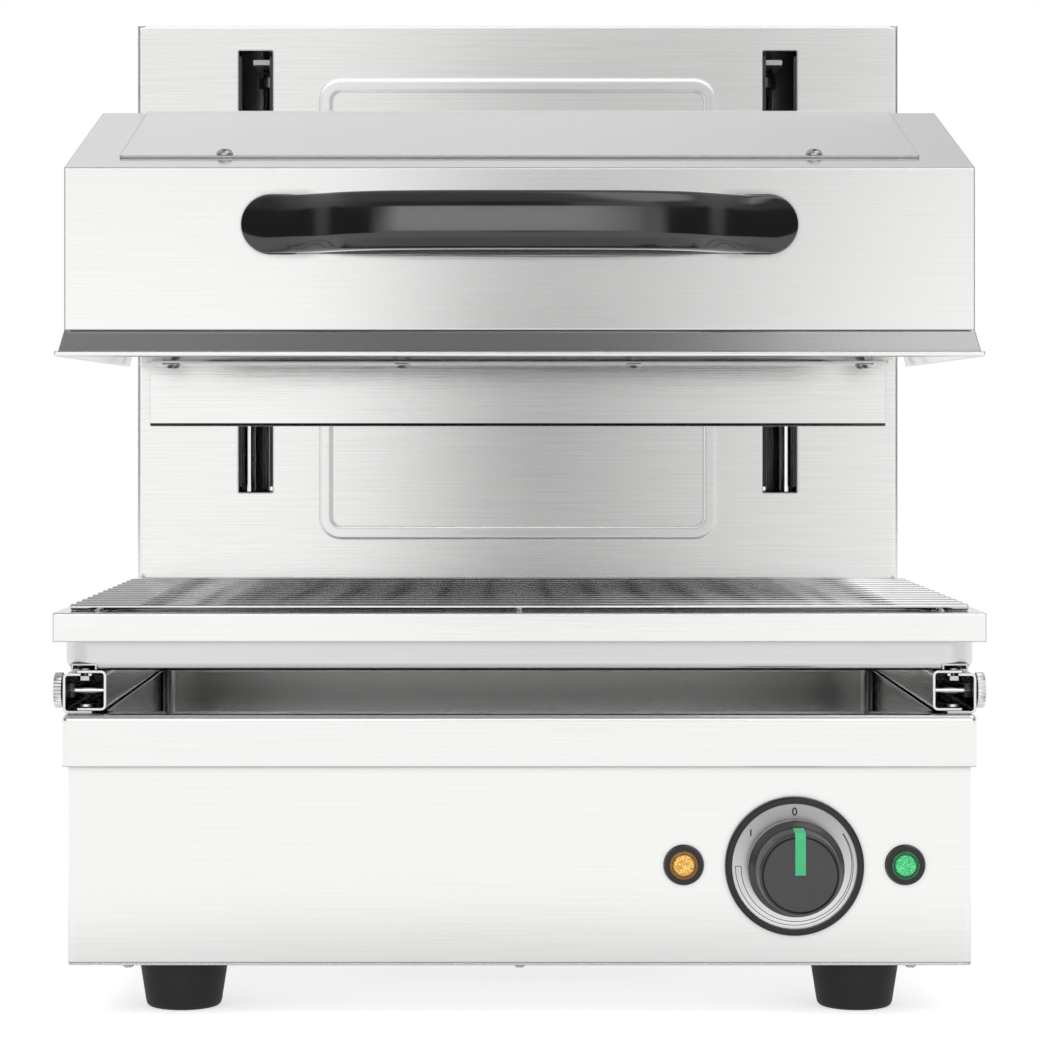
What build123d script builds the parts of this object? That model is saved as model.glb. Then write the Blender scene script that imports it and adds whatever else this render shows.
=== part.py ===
from build123d import *
from math import atan2, cos, degrees, radians, sin, tan
import os

# Electric lift grill: a heated head rides up and down a rear column over a wire rack.
# Millimetres. +X is right, +Y is to the back, +Z is up, and the feet stand on Z = 0.

os.makedirs("parts", exist_ok=True)

# ---------------------------------------------------------------- driving sizes
body_width = 437.0        # base box, side to side
body_depth = 400.0        # base box, front to back
foot_height = 27.0
sheet = 1.2               # stainless sheet of every folded panel
handle_reach = 48.0       # how far the bow handle stands out in front
gland_reach = 14.0        # how far the cable gland stands out behind
grill_depth = 290.0       # front panels to the face of the column
column_inset = 0.75       # the column stands this far in from each side of the base
column_top = 516.0
deck_height = 148.5       # top of the base's pressed deck
deck_overhang = 2.5       # the deck's skirt stands out this far over the base
rail_height = 20.8        # deck to the underside of the grill tray
head_overhang = 1.5       # the head is this much wider than the base on each side
head_floor = 334.0        # lower edge of the head's front panel
head_front_top = 412.5    # top of the head's front panel
head_roof = 453.0         # flat top of the head
slope_depth = 150.0       # length of the head's sloping top, seen from the side
slider_height = 100.0
head_drop = 80.0          # travel of the head below the rest pose
head_rise = 40.0          # travel of the head above the rest pose
tray_travel = 100.0

column_width = body_width - 2 * column_inset
deck_width = body_width + 2 * deck_overhang
head_width = body_width + 2 * head_overhang
tray_floor = deck_height + rail_height
slider_bottom = head_floor + 6.0    # lowest point of the running blocks, at rest

# The bounding box is centred on the origin from front to back.
front = -(body_depth + gland_reach - handle_reach) / 2
back = front + body_depth
body_middle = (front + back) / 2
column_face = front + grill_depth
floor_top = foot_height + sheet
fine_gap = 0.3            # between pieces that pass each other
touch_gap = 0.05          # a turning or sliding fit, on the radius


def keep(piece, name):
    """Label a finished piece and write it to its own file."""
    piece.part.label = name
    export_step(piece.part, f"parts/{name}.step")


def facing(y):
    """The upright plane at this depth, drawn as seen from the front: X right, Z up."""
    return Plane.XZ.offset(-y)


def dome_screw(head_radius, head_height, shank_radius, shank_length):
    """A low domed screw, head above the origin and shank below it."""
    with BuildPart() as screw:
        with BuildSketch(Plane.XZ):
            with BuildLine():
                Polyline(
                    (0, head_height),
                    (0, -shank_length),
                    (shank_radius, -shank_length),
                    (shank_radius, 0),
                    (head_radius, 0),
                    (head_radius, head_height * 0.15),
                )
                Spline(
                    (head_radius, head_height * 0.15),
                    (head_radius * 0.7, head_height * 0.75),
                    (0, head_height),
                    tangents=((0, 1), (-1, 0)),
                )
            make_face()
        revolve(axis=Axis.Z)
    return screw.part


# ---------------------------------------------------------------- rubber feet
# Moulded rubber cones with a recess for the screw that holds each to the floor plate.
foot_side_inset = 52.0
foot_spread = body_width / 2 - foot_side_inset
foot_inset = 45.0
foot_top_radius = 22.5
foot_base_radius = 18.25
foot_edge = 2.0
foot_recess_radius = 8.0
foot_recess_depth = 14.0
foot_hole_radius = 2.7
foot_places = [
    (x, y)
    for y in (front + foot_inset, back - foot_inset)
    for x in (-foot_spread, foot_spread)
]

with BuildPart() as foot_form:
    with BuildSketch(Plane.XZ):
        with BuildLine():
            Polyline(
                (foot_base_radius - foot_edge, 0),
                (foot_recess_radius, 0),
                (foot_recess_radius, foot_recess_depth),
                (foot_hole_radius, foot_recess_depth),
                (foot_hole_radius, foot_height),
                (foot_top_radius, foot_height),
                (foot_base_radius + foot_edge * 0.2, foot_edge),
            )
            ThreePointArc(
                (foot_base_radius + foot_edge * 0.2, foot_edge),
                (foot_base_radius - foot_edge * 0.35, foot_edge * 0.35),
                (foot_base_radius - foot_edge, 0),
            )
        make_face()
    revolve(axis=Axis.Z)

with BuildPart() as rubber_feet:
    with Locations(*foot_places):
        add(foot_form.part)
keep(rubber_feet, "rubber_feet")

foot_bolt_radius = 2.5
foot_bolt_head = 5.0
foot_bolt_head_height = 3.0
nut_height = 4.0
nut_radius = 4.6
with BuildPart() as foot_bolts:
    with BuildSketch(Plane.XY.offset(foot_recess_depth - foot_bolt_head_height)):
        with Locations(*foot_places):
            Circle(foot_bolt_head)
    extrude(amount=foot_bolt_head_height)
    with BuildSketch(Plane.XY.offset(foot_recess_depth)):
        with Locations(*foot_places):
            Circle(foot_bolt_radius)
    extrude(amount=floor_top + nut_height + 2 - foot_recess_depth)
    with BuildSketch(Plane.XY.offset(floor_top)):
        with Locations(*foot_places):
            RegularPolygon(nut_radius, 6)
            Circle(foot_bolt_radius + touch_gap, mode=Mode.SUBTRACT)
    extrude(amount=nut_height)
keep(foot_bolts, "foot_bolts")

# ---------------------------------------------------------------- base box
# Floor plate with louvre slots; the folded front and sides stand on it.
corner_bend = 3.0
floor_screw_spread = body_width / 2 - 28.5
floor_screw_inset = 8.0
floor_screw_radius = 1.9
floor_screw_places = [
    (x, y)
    for y in (front + floor_screw_inset, back - floor_screw_inset)
    for x in (-floor_screw_spread, 0, floor_screw_spread)
]
vent_pitch = 14.0
vent_count = 12
vent_length = 42.0
vent_width = 4.0

with BuildPart() as base_floor:
    with BuildSketch(Plane.XY.offset(foot_height)):
        with Locations((0, body_middle)):
            RectangleRounded(body_width, body_depth, corner_bend)
        with Locations((0, body_middle)):
            with GridLocations(vent_pitch, body_depth / 3, vent_count, 2):
                SlotOverall(vent_length, vent_width, rotation=90, mode=Mode.SUBTRACT)
        with Locations(*foot_places):
            Circle(foot_hole_radius, mode=Mode.SUBTRACT)
        with Locations(*floor_screw_places):
            Circle(floor_screw_radius, mode=Mode.SUBTRACT)
    extrude(amount=sheet)
keep(base_floor, "base_floor")

# Control positions on the front panel.
control_inset = 85.7      # dial's axis to the right edge of the base
control_z = 75.0
lamp_z = 75.5
lamp_spacing = 53.5       # dial's axis to each pilot lamp
control_x = body_width / 2 - control_inset
amber_x = control_x - lamp_spacing
green_x = control_x + lamp_spacing
shaft_radius = 3.0
shaft_hole_radius = 5.0
lamp_body_radius = 6.0
lamp_hole_radius = lamp_body_radius + 0.4
shell_top = deck_height - sheet
floor_flange = 16.0
back_flange = 14.0
back_opening_low = floor_top + back_flange
back_opening_high = shell_top - back_flange
back_screw_radius = 1.9
back_screw_spread = body_width / 2 - back_flange / 2 - sheet
back_screw_places = [
    (x, z)
    for z in (floor_top + back_flange / 2 + sheet, shell_top - back_flange / 2)
    for x in (-back_screw_spread, 0, back_screw_spread)
]

with BuildPart() as base_shell:
    with BuildSketch(Plane.XY.offset(floor_top)):
        with Locations((0, body_middle)):
            RectangleRounded(body_width, body_depth, corner_bend)
    extrude(amount=shell_top - floor_top)
    with BuildSketch(Plane.XY.offset(floor_top + sheet)):
        with Locations((0, body_middle)):
            RectangleRounded(
                body_width - 2 * sheet, body_depth - 2 * sheet, corner_bend - sheet
            )
    extrude(amount=shell_top - floor_top - sheet, mode=Mode.SUBTRACT)
    with BuildSketch(Plane.XY.offset(floor_top)):
        with Locations((0, body_middle)):
            Rectangle(body_width - 2 * floor_flange, body_depth - 2 * floor_flange)
        with Locations(*floor_screw_places):
            Circle(floor_screw_radius)
    extrude(amount=sheet, mode=Mode.SUBTRACT)
    with BuildSketch(facing(back)):
        with Locations((0, (back_opening_low + back_opening_high) / 2)):
            Rectangle(body_width - 2 * back_flange, back_opening_high - back_opening_low)
        with Locations(*back_screw_places):
            Circle(back_screw_radius)
    extrude(amount=sheet, mode=Mode.SUBTRACT)
    with BuildSketch(facing(front)):
        with Locations((control_x, control_z)):
            Circle(shaft_hole_radius)
        with Locations((amber_x, lamp_z), (green_x, lamp_z)):
            Circle(lamp_hole_radius)
    extrude(amount=-sheet, mode=Mode.SUBTRACT)
keep(base_shell, "base_shell")

floor_screw = dome_screw(3.0, 2.5, floor_screw_radius - touch_gap, 5.0)
with BuildPart() as base_screws:
    with Locations(*[Location((x, y, foot_height), (180, 0, 0)) for x, y in floor_screw_places]):
        add(floor_screw)
keep(base_screws, "base_screws")

# The back panel of the base closes the service opening from inside.
panel_low = floor_top + sheet + fine_gap
panel_high = shell_top - sheet - fine_gap
gland_x = -(body_width / 2 - 68.5)
gland_z = 66.0
gland_thread_radius = 8.0
back_vent_count = 9
with BuildPart() as base_back:
    with BuildSketch(facing(back - sheet)):
        with Locations((0, (panel_low + panel_high) / 2)):
            Rectangle(body_width - 2 * corner_bend, panel_high - panel_low)
        with Locations((gland_x, gland_z)):
            Circle(gland_thread_radius + touch_gap, mode=Mode.SUBTRACT)
        with Locations(*back_screw_places):
            Circle(back_screw_radius, mode=Mode.SUBTRACT)
        with Locations((body_width / 5, (panel_low + panel_high) / 2)):
            with GridLocations(vent_pitch, 0, back_vent_count, 1):
                SlotOverall(vent_length, vent_width, rotation=90, mode=Mode.SUBTRACT)
    extrude(amount=sheet)
keep(base_back, "base_back")

panel_screw = dome_screw(3.6, 2.4, back_screw_radius - touch_gap, 6.0)
with BuildPart() as back_screws:
    with Locations(*[Location((x, back, z), (-90, 0, 0)) for x, z in back_screw_places]):
        add(panel_screw)
keep(back_screws, "back_screws")

# Cable gland: hexagon and domed nut outside, threaded neck and locknut inside.
gland_face = back - sheet
gland_hex_radius = 12.5
gland_hex_depth = 5.0
gland_bore_radius = 4.5
gland_neck = 9.0
gland_locknut = 4.0
with BuildPart() as cable_gland:
    with BuildSketch(facing(gland_face)):
        with Locations((gland_x, gland_z)):
            RegularPolygon(gland_hex_radius, 6)
    extrude(amount=-gland_hex_depth)
    with BuildSketch(facing(gland_face + gland_hex_depth)):
        with Locations((gland_x, gland_z)):
            Circle(gland_hex_radius * 0.84)
    extrude(amount=-(gland_reach + sheet - gland_hex_depth), taper=18)
    with BuildSketch(facing(gland_face)):
        with Locations((gland_x, gland_z)):
            Circle(gland_thread_radius)
    extrude(amount=gland_neck)
    with BuildSketch(facing(gland_face - sheet)):
        with Locations((gland_x, gland_z)):
            RegularPolygon(gland_hex_radius, 6)
    extrude(amount=gland_locknut)
    with BuildSketch(facing(back + gland_reach)):
        with Locations((gland_x, gland_z)):
            Circle(gland_bore_radius)
    extrude(amount=gland_reach + 2 * sheet + gland_neck + 1, mode=Mode.SUBTRACT)
keep(cable_gland, "cable_gland")

# ---------------------------------------------------------------- deck pan
# A pressed lid over the base: an outer skirt, a flat deck and a deep recess for crumbs.
skirt_height = 25.5
skirt_bottom = deck_height - skirt_height
deck_front = front - deck_overhang
deck_back = column_face - 4.0
deck_middle = (deck_front + deck_back) / 2
deck_depth = deck_back - deck_front
recess_half = deck_width / 2 - 19.5
recess_floor = deck_height - 36.5
recess_front = front + 12.0
recess_back = column_face - 13.0
recess_corner = 7.0
rail_front = front + 2.0
rail_screw_x = deck_width / 2 - 10.5
keeper_radius = 1.6
keeper_slot = 3.7
keeper_places = (rail_front + 8.0, rail_front + 148.0)
keeper_points = [(side * rail_screw_x, y) for side in (-1, 1) for y in keeper_places]
recess_middle = (recess_front + recess_back) / 2
recess_depth = recess_back - recess_front

with BuildPart() as deck_pan:
    with BuildSketch(Plane.XY.offset(skirt_bottom)):
        with Locations((0, deck_middle)):
            Rectangle(deck_width, deck_depth)
    extrude(amount=deck_height - skirt_bottom)
    side_corners = deck_pan.edges().filter_by(Axis.Z).sort_by(Axis.Y)[0:2]
    top_edges = deck_pan.faces().sort_by(Axis.Z)[-1].edges().sort_by(Axis.Y)[0:3]
    fillet(side_corners + top_edges, corner_bend)
    with BuildSketch(Plane.XY.offset(skirt_bottom)):
        with Locations((0, deck_middle + sheet)):
            RectangleRounded(deck_width - 2 * sheet, deck_depth, corner_bend - sheet)
    extrude(amount=deck_height - sheet - skirt_bottom, mode=Mode.SUBTRACT)
    # The folded return that closes the gap under the skirt.
    with BuildSketch(Plane.XY.offset(skirt_bottom)):
        with Locations((0, deck_middle + sheet / 2)):
            Rectangle(deck_width - sheet, deck_depth - sheet)
            with Locations((0, deck_overhang)):
                Rectangle(
                    body_width + 2 * touch_gap, deck_depth + 2 * touch_gap + sheet, mode=Mode.SUBTRACT
                )
    extrude(amount=sheet)
    # Recess: walls and floor under the deck, then the hollow.
    with BuildSketch(Plane.XY.offset(recess_floor)):
        with Locations((0, recess_middle)):
            RectangleRounded(
                2 * (recess_half + sheet), recess_depth + 2 * sheet, recess_corner + sheet
            )
    extrude(amount=deck_height - sheet / 2 - recess_floor)
    with BuildSketch(Plane.XY.offset(recess_floor + sheet)):
        with Locations((0, recess_middle)):
            RectangleRounded(2 * recess_half, recess_depth, recess_corner)
    extrude(amount=deck_height - recess_floor, mode=Mode.SUBTRACT)
    with BuildSketch(Plane.XY.offset(deck_height - 2 * sheet)):
        with Locations(*keeper_points):
            Circle(keeper_radius + touch_gap)
    extrude(amount=3 * sheet, mode=Mode.SUBTRACT)
keep(deck_pan, "deck_pan")

# ---------------------------------------------------------------- telescoping side rails
# Outer channels are fixed to the deck. Inner channels carry the tray and slide in them.
rail_half = deck_width / 2
rail_inner_half = rail_half - 21.0
rail_length = recess_back - rail_front
rail_bend = 2.0
rail_lip = 14.0           # width of each channel's flanges
slide_gap = 0.2           # between flanges that slide on each other
outer_top = tray_floor - sheet - slide_gap
inner_bottom = deck_height + sheet + slide_gap
outer_wall = rail_half - sheet / 2
inner_wall = rail_inner_half + sheet / 2
thumb_y = rail_front + 12.0
thumb_z = deck_height + rail_height / 2
thumb_bolt_radius = 2.0
slide_screw_places = (rail_front + 5.0, rail_front + rail_length - 20.0)

for side, hand in ((-1, "left"), (1, "right")):
    with BuildPart() as rail_outer:
        with BuildSketch(facing(rail_front)):
            with BuildLine():
                FilletPolyline(
                    (side * (rail_half - rail_lip), deck_height + sheet / 2),
                    (side * outer_wall, deck_height + sheet / 2),
                    (side * outer_wall, outer_top - sheet / 2),
                    (side * (rail_half - rail_lip), outer_top - sheet / 2),
                    radius=rail_bend,
                )
            trace(line_width=sheet)
        extrude(amount=-rail_length)
        # Hole for the clamp bolt, holes for the keepers, and the open slot for the slide screws.
        with BuildSketch(Plane.YZ.offset(side * rail_half)):
            with Locations((thumb_y, thumb_z)):
                Circle(thumb_bolt_radius + 0.5)
        extrude(amount=-side * 2 * sheet, mode=Mode.SUBTRACT)
        with BuildSketch(Plane.XY.offset(deck_height)):
            with Locations(*[(side * rail_screw_x, y) for y in keeper_places]):
                Circle(keeper_radius + touch_gap)
        extrude(amount=sheet, mode=Mode.SUBTRACT)
        with BuildSketch(Plane.XY.offset(outer_top - 1.5 * sheet)):
            with Locations((side * rail_screw_x, rail_front + rail_length / 2 - 8)):
                Rectangle(keeper_slot, rail_length)
        extrude(amount=2 * sheet, mode=Mode.SUBTRACT)
    keep(rail_outer, f"rail_outer_{hand}")

    with BuildPart() as rail_inner:
        with BuildSketch(facing(rail_front)):
            with BuildLine():
                FilletPolyline(
                    (side * (rail_inner_half + rail_lip), tray_floor - sheet / 2),
                    (side * inner_wall, tray_floor - sheet / 2),
                    (side * inner_wall, inner_bottom + sheet / 2),
                    (side * (rail_inner_half + rail_lip), inner_bottom + sheet / 2),
                    radius=rail_bend,
                )
            trace(line_width=sheet)
        extrude(amount=-rail_length)
        # Long slots ride on the keepers and stop the tray at both ends of its travel.
        with BuildSketch(Plane.XY.offset(inner_bottom - sheet / 2)):
            with Locations(*[(side * rail_screw_x, y + tray_travel / 2) for y in keeper_places]):
                SlotOverall(tray_travel + 2 * keeper_slot, keeper_slot, rotation=90)
        extrude(amount=2 * sheet, mode=Mode.SUBTRACT)
        with BuildSketch(Plane.XY.offset(tray_floor - 1.5 * sheet)):
            with Locations(*[(side * rail_screw_x, y) for y in slide_screw_places]):
                Circle(keeper_radius + touch_gap)
        extrude(amount=2 * sheet, mode=Mode.SUBTRACT)
    keep(rail_inner, f"rail_inner_{hand}")

# Shouldered keepers hold the outer rails to the deck and the inner rails down.
keeper_head_radius = 4.5
keeper_head_height = 1.3
keeper_head_z = inner_bottom + sheet + slide_gap
keeper_nut_height = 2.5
keeper_nut_radius = 3.2
with BuildPart() as rail_keepers:
    with BuildSketch(Plane.XY.offset(shell_top - keeper_nut_height)):
        with Locations(*keeper_points):
            RegularPolygon(keeper_nut_radius, 6)
    extrude(amount=keeper_nut_height)
    with BuildSketch(Plane.XY.offset(shell_top)):
        with Locations(*keeper_points):
            Circle(keeper_radius)
    extrude(amount=keeper_head_z - shell_top)
    with BuildSketch(Plane.XY.offset(keeper_head_z)):
        with Locations(*keeper_points):
            Circle(keeper_head_radius)
    extrude(amount=keeper_head_height, taper=12)
keep(rail_keepers, "rail_keepers")

# Slide screws: domed head over the inner flange, nut under the outer flange.
slide_nut_radius = 4.2
slide_nut_height = 2.2
slide_nut_top = outer_top - sheet - slide_gap
slide_screw = dome_screw(3.7, 2.1, keeper_radius, tray_floor - slide_nut_top + slide_nut_height)
slide_points = [(side * rail_screw_x, y) for side in (-1, 1) for y in slide_screw_places]
with BuildPart() as slide_screws:
    with Locations(*[(x, y, tray_floor) for x, y in slide_points]):
        add(slide_screw)
    with BuildSketch(Plane.XY.offset(slide_nut_top - slide_nut_height)):
        with Locations(*slide_points):
            RegularPolygon(slide_nut_radius, 6)
    extrude(amount=slide_nut_height)
keep(slide_screws, "slide_screws")

# Clamp screws: a knurled knob outside each rail, its bolt in a nut welded inside the wall.
thumb_reach = rail_half + 5.5       # outer face of the knobs
thumb_head_radius = 8.6
thumb_head_width = 4.3
thumb_neck_radius = 4.0
clamp_gap = 1.2           # bolt's end to the inner rail, with the screw slack
thumb_end = rail_inner_half + sheet + clamp_gap
knurl_count = 24
knurl_depth = 0.5
weld_nut_width = 3.3
weld_nut_radius = 4.0
with BuildPart() as rail_nuts:
    for side in (-1, 1):
        with BuildSketch(Plane.YZ.offset(side * (rail_half - sheet))):
            with Locations((thumb_y, thumb_z)):
                RegularPolygon(weld_nut_radius, 6)
                Circle(thumb_bolt_radius + touch_gap, mode=Mode.SUBTRACT)
        extrude(amount=-side * weld_nut_width)
keep(rail_nuts, "rail_nuts")

for side, hand in ((-1, "left"), (1, "right")):
    with BuildPart() as thumb_screw:
        with BuildSketch(Plane.YZ.offset(side * (thumb_reach - thumb_head_width))):
            with Locations((thumb_y, thumb_z)):
                Circle(thumb_head_radius)
                with PolarLocations(thumb_head_radius + knurl_depth / 2, knurl_count):
                    Circle(knurl_depth, mode=Mode.SUBTRACT)
        extrude(amount=side * thumb_head_width)
        with BuildSketch(Plane.YZ.offset(side * (rail_half + fine_gap))):
            with Locations((thumb_y, thumb_z)):
                Circle(thumb_neck_radius)
        extrude(amount=side * (thumb_reach - thumb_head_width - rail_half - fine_gap))
        with BuildSketch(Plane.YZ.offset(side * thumb_end)):
            with Locations((thumb_y, thumb_z)):
                Circle(thumb_bolt_radius)
        extrude(amount=side * (rail_half + fine_gap - thumb_end))
    keep(thumb_screw, f"thumb_screw_{hand}")

# ---------------------------------------------------------------- drip pan, grid frame and rack
tray_sheet = 1.0
pan_half = rail_half
pan_length = grill_depth - 7.0
pan_corner = 16.0
pan_bend = 4.5
pan_floor = tray_floor
pan_top = tray_floor + 27.2
pan_middle = front + pan_length / 2
relief_width = 10.5
relief_depth = 14.0
relief_height = 2.5
with BuildPart() as drip_pan:
    with BuildSketch(Plane.XY.offset(pan_floor)):
        with Locations((0, pan_middle)):
            RectangleRounded(2 * pan_half, pan_length, pan_corner)
    extrude(amount=pan_top - pan_floor)
    fillet(drip_pan.faces().sort_by(Axis.Z)[0].edges(), pan_bend)
    offset(openings=drip_pan.faces().sort_by(Axis.Z)[-1], amount=-tray_sheet)
    # Pressed reliefs give the heads of the slide screws room under the pan.
    with BuildSketch(Plane.XY.offset(pan_floor + tray_sheet / 2)):
        with Locations(*slide_points):
            Rectangle(relief_width + 2 * tray_sheet, relief_depth)
    extrude(amount=relief_height + tray_sheet / 2)
    with BuildSketch(Plane.XY.offset(pan_floor - 1)):
        with Locations(*[(x, y - 2 * tray_sheet) for x, y in slide_points]):
            Rectangle(relief_width, relief_depth + 2 * tray_sheet)
    extrude(amount=relief_height + 1, mode=Mode.SUBTRACT)
keep(drip_pan, "drip_pan")

frame_overhang = 4.0
frame_apron = 14.0
frame_half = pan_half + frame_overhang
frame_front = front - frame_overhang
frame_back = column_face - 5.0
frame_bottom = pan_top + tray_sheet - frame_apron
frame_top = pan_top + tray_sheet
frame_flange = 13.5
frame_middle = (frame_front + frame_back) / 2
frame_length = frame_back - frame_front
frame_edge = 1.2
with BuildPart() as grid_frame:
    with BuildSketch(Plane.XY.offset(frame_bottom)):
        with Locations((0, frame_middle)):
            Rectangle(2 * frame_half, frame_length)
            Rectangle(
                2 * (frame_half - tray_sheet), frame_length - 2 * tray_sheet, mode=Mode.SUBTRACT
            )
    extrude(amount=frame_top - frame_bottom)
    with BuildSketch(Plane.XY.offset(pan_top)):
        with Locations((0, frame_middle)):
            Rectangle(2 * frame_half, frame_length)
            Rectangle(
                2 * (frame_half - frame_flange), frame_length - 2 * frame_flange, mode=Mode.SUBTRACT
            )
    extrude(amount=tray_sheet)
    top_rim = grid_frame.faces().sort_by(Axis.Z)[-1].outer_wire().edges()
    fillet(top_rim, frame_edge * 0.6)
keep(grid_frame, "grid_frame")

# Welded wire rack: thirteen long wires across, on three bearers that keep it in the frame.
wire_radius = 1.6
bearer_radius = 2.5
wire_half = frame_half - 5.5
wire_count = 13
wire_first = front + 17.0
wire_last = column_face - 21.0
wire_pitch = (wire_last - wire_first) / (wire_count - 1)
wire_z = frame_top + wire_radius + 0.1
bearer_z = wire_z - wire_radius - bearer_radius + 0.4
bearer_front = wire_first - 4.5
bearer_length = wire_last + bearer_radius - bearer_front
bearer_spread = wire_half - 13.5
rack_middle = (wire_first + wire_last) / 2
with BuildPart() as wire_rack:
    with BuildSketch(Plane.YZ.offset(-wire_half)):
        with Locations((rack_middle, wire_z)):
            with GridLocations(wire_pitch, 0, wire_count, 1):
                Circle(wire_radius)
    extrude(amount=2 * wire_half)
    with BuildSketch(facing(bearer_front)):
        with Locations((0, bearer_z)):
            with GridLocations(bearer_spread, 0, 3, 1):
                Circle(bearer_radius)
    extrude(amount=-bearer_length)
keep(wire_rack, "wire_rack")

# ---------------------------------------------------------------- column
slot_inset = 67.75        # middle of each slot to the side of the column
slot_x = column_width / 2 - slot_inset
strut_x = slot_x + 5.5
strut_y = column_face + 18.0
rod_x = slot_x - 7.4
rod_y = column_face + 34.0
rod_radius = 6.0
strut_radius = 7.5
strut_points = [(-strut_x, strut_y), (strut_x, strut_y)]
rod_points = [(-rod_x, rod_y), (rod_x, rod_y)]
rod_deck_front = deck_back + fine_gap
rod_deck_flange = 14.0
rod_deck_half = body_width / 2 - sheet
with BuildPart() as rod_deck:
    with BuildSketch(Plane.XY.offset(shell_top - sheet)):
        with Locations((0, (rod_deck_front + back - corner_bend) / 2)):
            Rectangle(2 * rod_deck_half, back - corner_bend - rod_deck_front)
        with Locations(*strut_points):
            Circle(strut_radius + 1.0, mode=Mode.SUBTRACT)
        with Locations((0, back - 45)):
            SlotOverall(60, 24, mode=Mode.SUBTRACT)
    extrude(amount=sheet)
    with BuildSketch(Plane.XY.offset(shell_top - rod_deck_flange)):
        with Locations((0, (rod_deck_front + back - 2 * back_flange) / 2)):
            with GridLocations(2 * rod_deck_half - sheet, 0, 2, 1):
                Rectangle(sheet, back - 2 * back_flange - rod_deck_front)
    extrude(amount=rod_deck_flange - sheet / 2)
keep(rod_deck, "rod_deck")

column_back_y = back
column_middle = (column_face + column_back_y) / 2
column_depth = column_back_y - column_face
column_half = column_width / 2
column_flange = 14.0
slot_width = 19.5
slot_low = deck_height + 100.5
slot_high = column_top - 14.0
slot_middle = (slot_low + slot_high) / 2
bead_half = slot_x - 40.0
bead_low = deck_height + 77.5
bead_high = column_top - 34.0
bead_width = 7.0
bead_corner = 9.0
bead_height = 1.2
bead_z = (bead_low + bead_high) / 2
column_screw_low = shell_top + column_flange
column_screw_high = column_top - sheet - column_flange / 2
column_screw_x = column_half - column_flange / 2 - sheet
column_screw_places = [
    (x, z)
    for z in (column_screw_low, (column_screw_low + column_screw_high) / 2, column_screw_high)
    for x in (-column_screw_x, column_screw_x)
]
with BuildPart() as column_shell:
    with BuildSketch(Plane.XY.offset(shell_top)):
        with Locations((0, column_middle)):
            Rectangle(column_width, column_depth)
    extrude(amount=column_top - shell_top)
    upright = column_shell.edges().filter_by(Axis.Z).sort_by(Axis.Y)[0:2]
    fillet(upright, sheet * 1.5)
    with BuildSketch(Plane.XY.offset(shell_top)):
        with Locations((0, column_middle)):
            Rectangle(column_width - 2 * sheet, column_depth - 2 * sheet)
    extrude(amount=column_top - sheet - shell_top, mode=Mode.SUBTRACT)
    with BuildSketch(facing(column_back_y)):
        with Locations((0, (shell_top + column_top - column_flange) / 2)):
            Rectangle(2 * (column_half - column_flange), column_top - column_flange - shell_top)
        with Locations(*column_screw_places):
            Circle(back_screw_radius)
    extrude(amount=sheet, mode=Mode.SUBTRACT)
    # The pressed stiffening bead stands proud in front and is hollow behind.
    with BuildSketch(facing(column_face)):
        with Locations((0, bead_z)):
            RectangleRounded(
                2 * bead_half + bead_width, bead_high - bead_low + bead_width, bead_corner + bead_width / 2
            )
            RectangleRounded(
                2 * bead_half - bead_width,
                bead_high - bead_low - bead_width,
                bead_corner - bead_width / 2,
                mode=Mode.SUBTRACT,
            )
    extrude(amount=bead_height, taper=35)
    with BuildSketch(facing(column_face + sheet)):
        with Locations((0, bead_z)):
            RectangleRounded(
                2 * bead_half + bead_width - 3, bead_high - bead_low + bead_width - 3, bead_corner + 2
            )
            RectangleRounded(
                2 * bead_half - bead_width + 3,
                bead_high - bead_low - bead_width + 3,
                bead_corner - 2,
                mode=Mode.SUBTRACT,
            )
    extrude(amount=bead_height, mode=Mode.SUBTRACT)
    with BuildSketch(facing(column_face)):
        with Locations((0, slot_middle)):
            with GridLocations(2 * slot_x, 0, 2, 1):
                Rectangle(slot_width, slot_high - slot_low)
    extrude(amount=-2 * sheet, mode=Mode.SUBTRACT)
keep(column_shell, "column_shell")

with BuildPart() as column_back:
    with BuildSketch(facing(column_back_y - sheet)):
        with Locations((0, (shell_top + column_top - sheet) / 2)):
            Rectangle(
                column_width - 2 * sheet - 2 * fine_gap,
                column_top - sheet - shell_top - 2 * fine_gap,
            )
        with Locations(*column_screw_places):
            Circle(back_screw_radius, mode=Mode.SUBTRACT)
        with Locations((0, slot_middle + 60), (0, shell_top + 60)):
            with GridLocations(vent_pitch, 0, back_vent_count, 1):
                SlotOverall(vent_length, vent_width, rotation=90, mode=Mode.SUBTRACT)
    extrude(amount=sheet)
keep(column_back, "column_back")

with BuildPart() as column_screws:
    with Locations(*[Location((x, back, z), (-90, 0, 0)) for x, z in column_screw_places]):
        add(panel_screw)
keep(column_screws, "column_screws")

# Edge strips line both long edges of each slot and hook behind the sheet.
trim_width = 1.75
trim_end = 3.4
trim_lip = 4.0
trim_length = slot_high - slot_low - 2 * trim_end
with BuildPart() as slot_trims:
    for middle in (-slot_x, slot_x):
        for edge in (-1, 1):
            inner_edge = middle + edge * (slot_width / 2 - trim_width)
            with BuildSketch(Plane.XY.offset(slot_low + trim_end)):
                with BuildLine():
                    Polyline(
                        (inner_edge, column_face - 0.4),
                        (middle + edge * slot_width / 2, column_face - 0.4),
                        (middle + edge * slot_width / 2, column_face + sheet),
                        (middle + edge * (slot_width / 2 + trim_lip), column_face + sheet),
                        (middle + edge * (slot_width / 2 + trim_lip), column_face + 2 * sheet),
                        (inner_edge, column_face + 2 * sheet),
                        close=True,
                    )
                make_face()
            extrude(amount=trim_length)
keep(slot_trims, "slot_trims")

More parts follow.
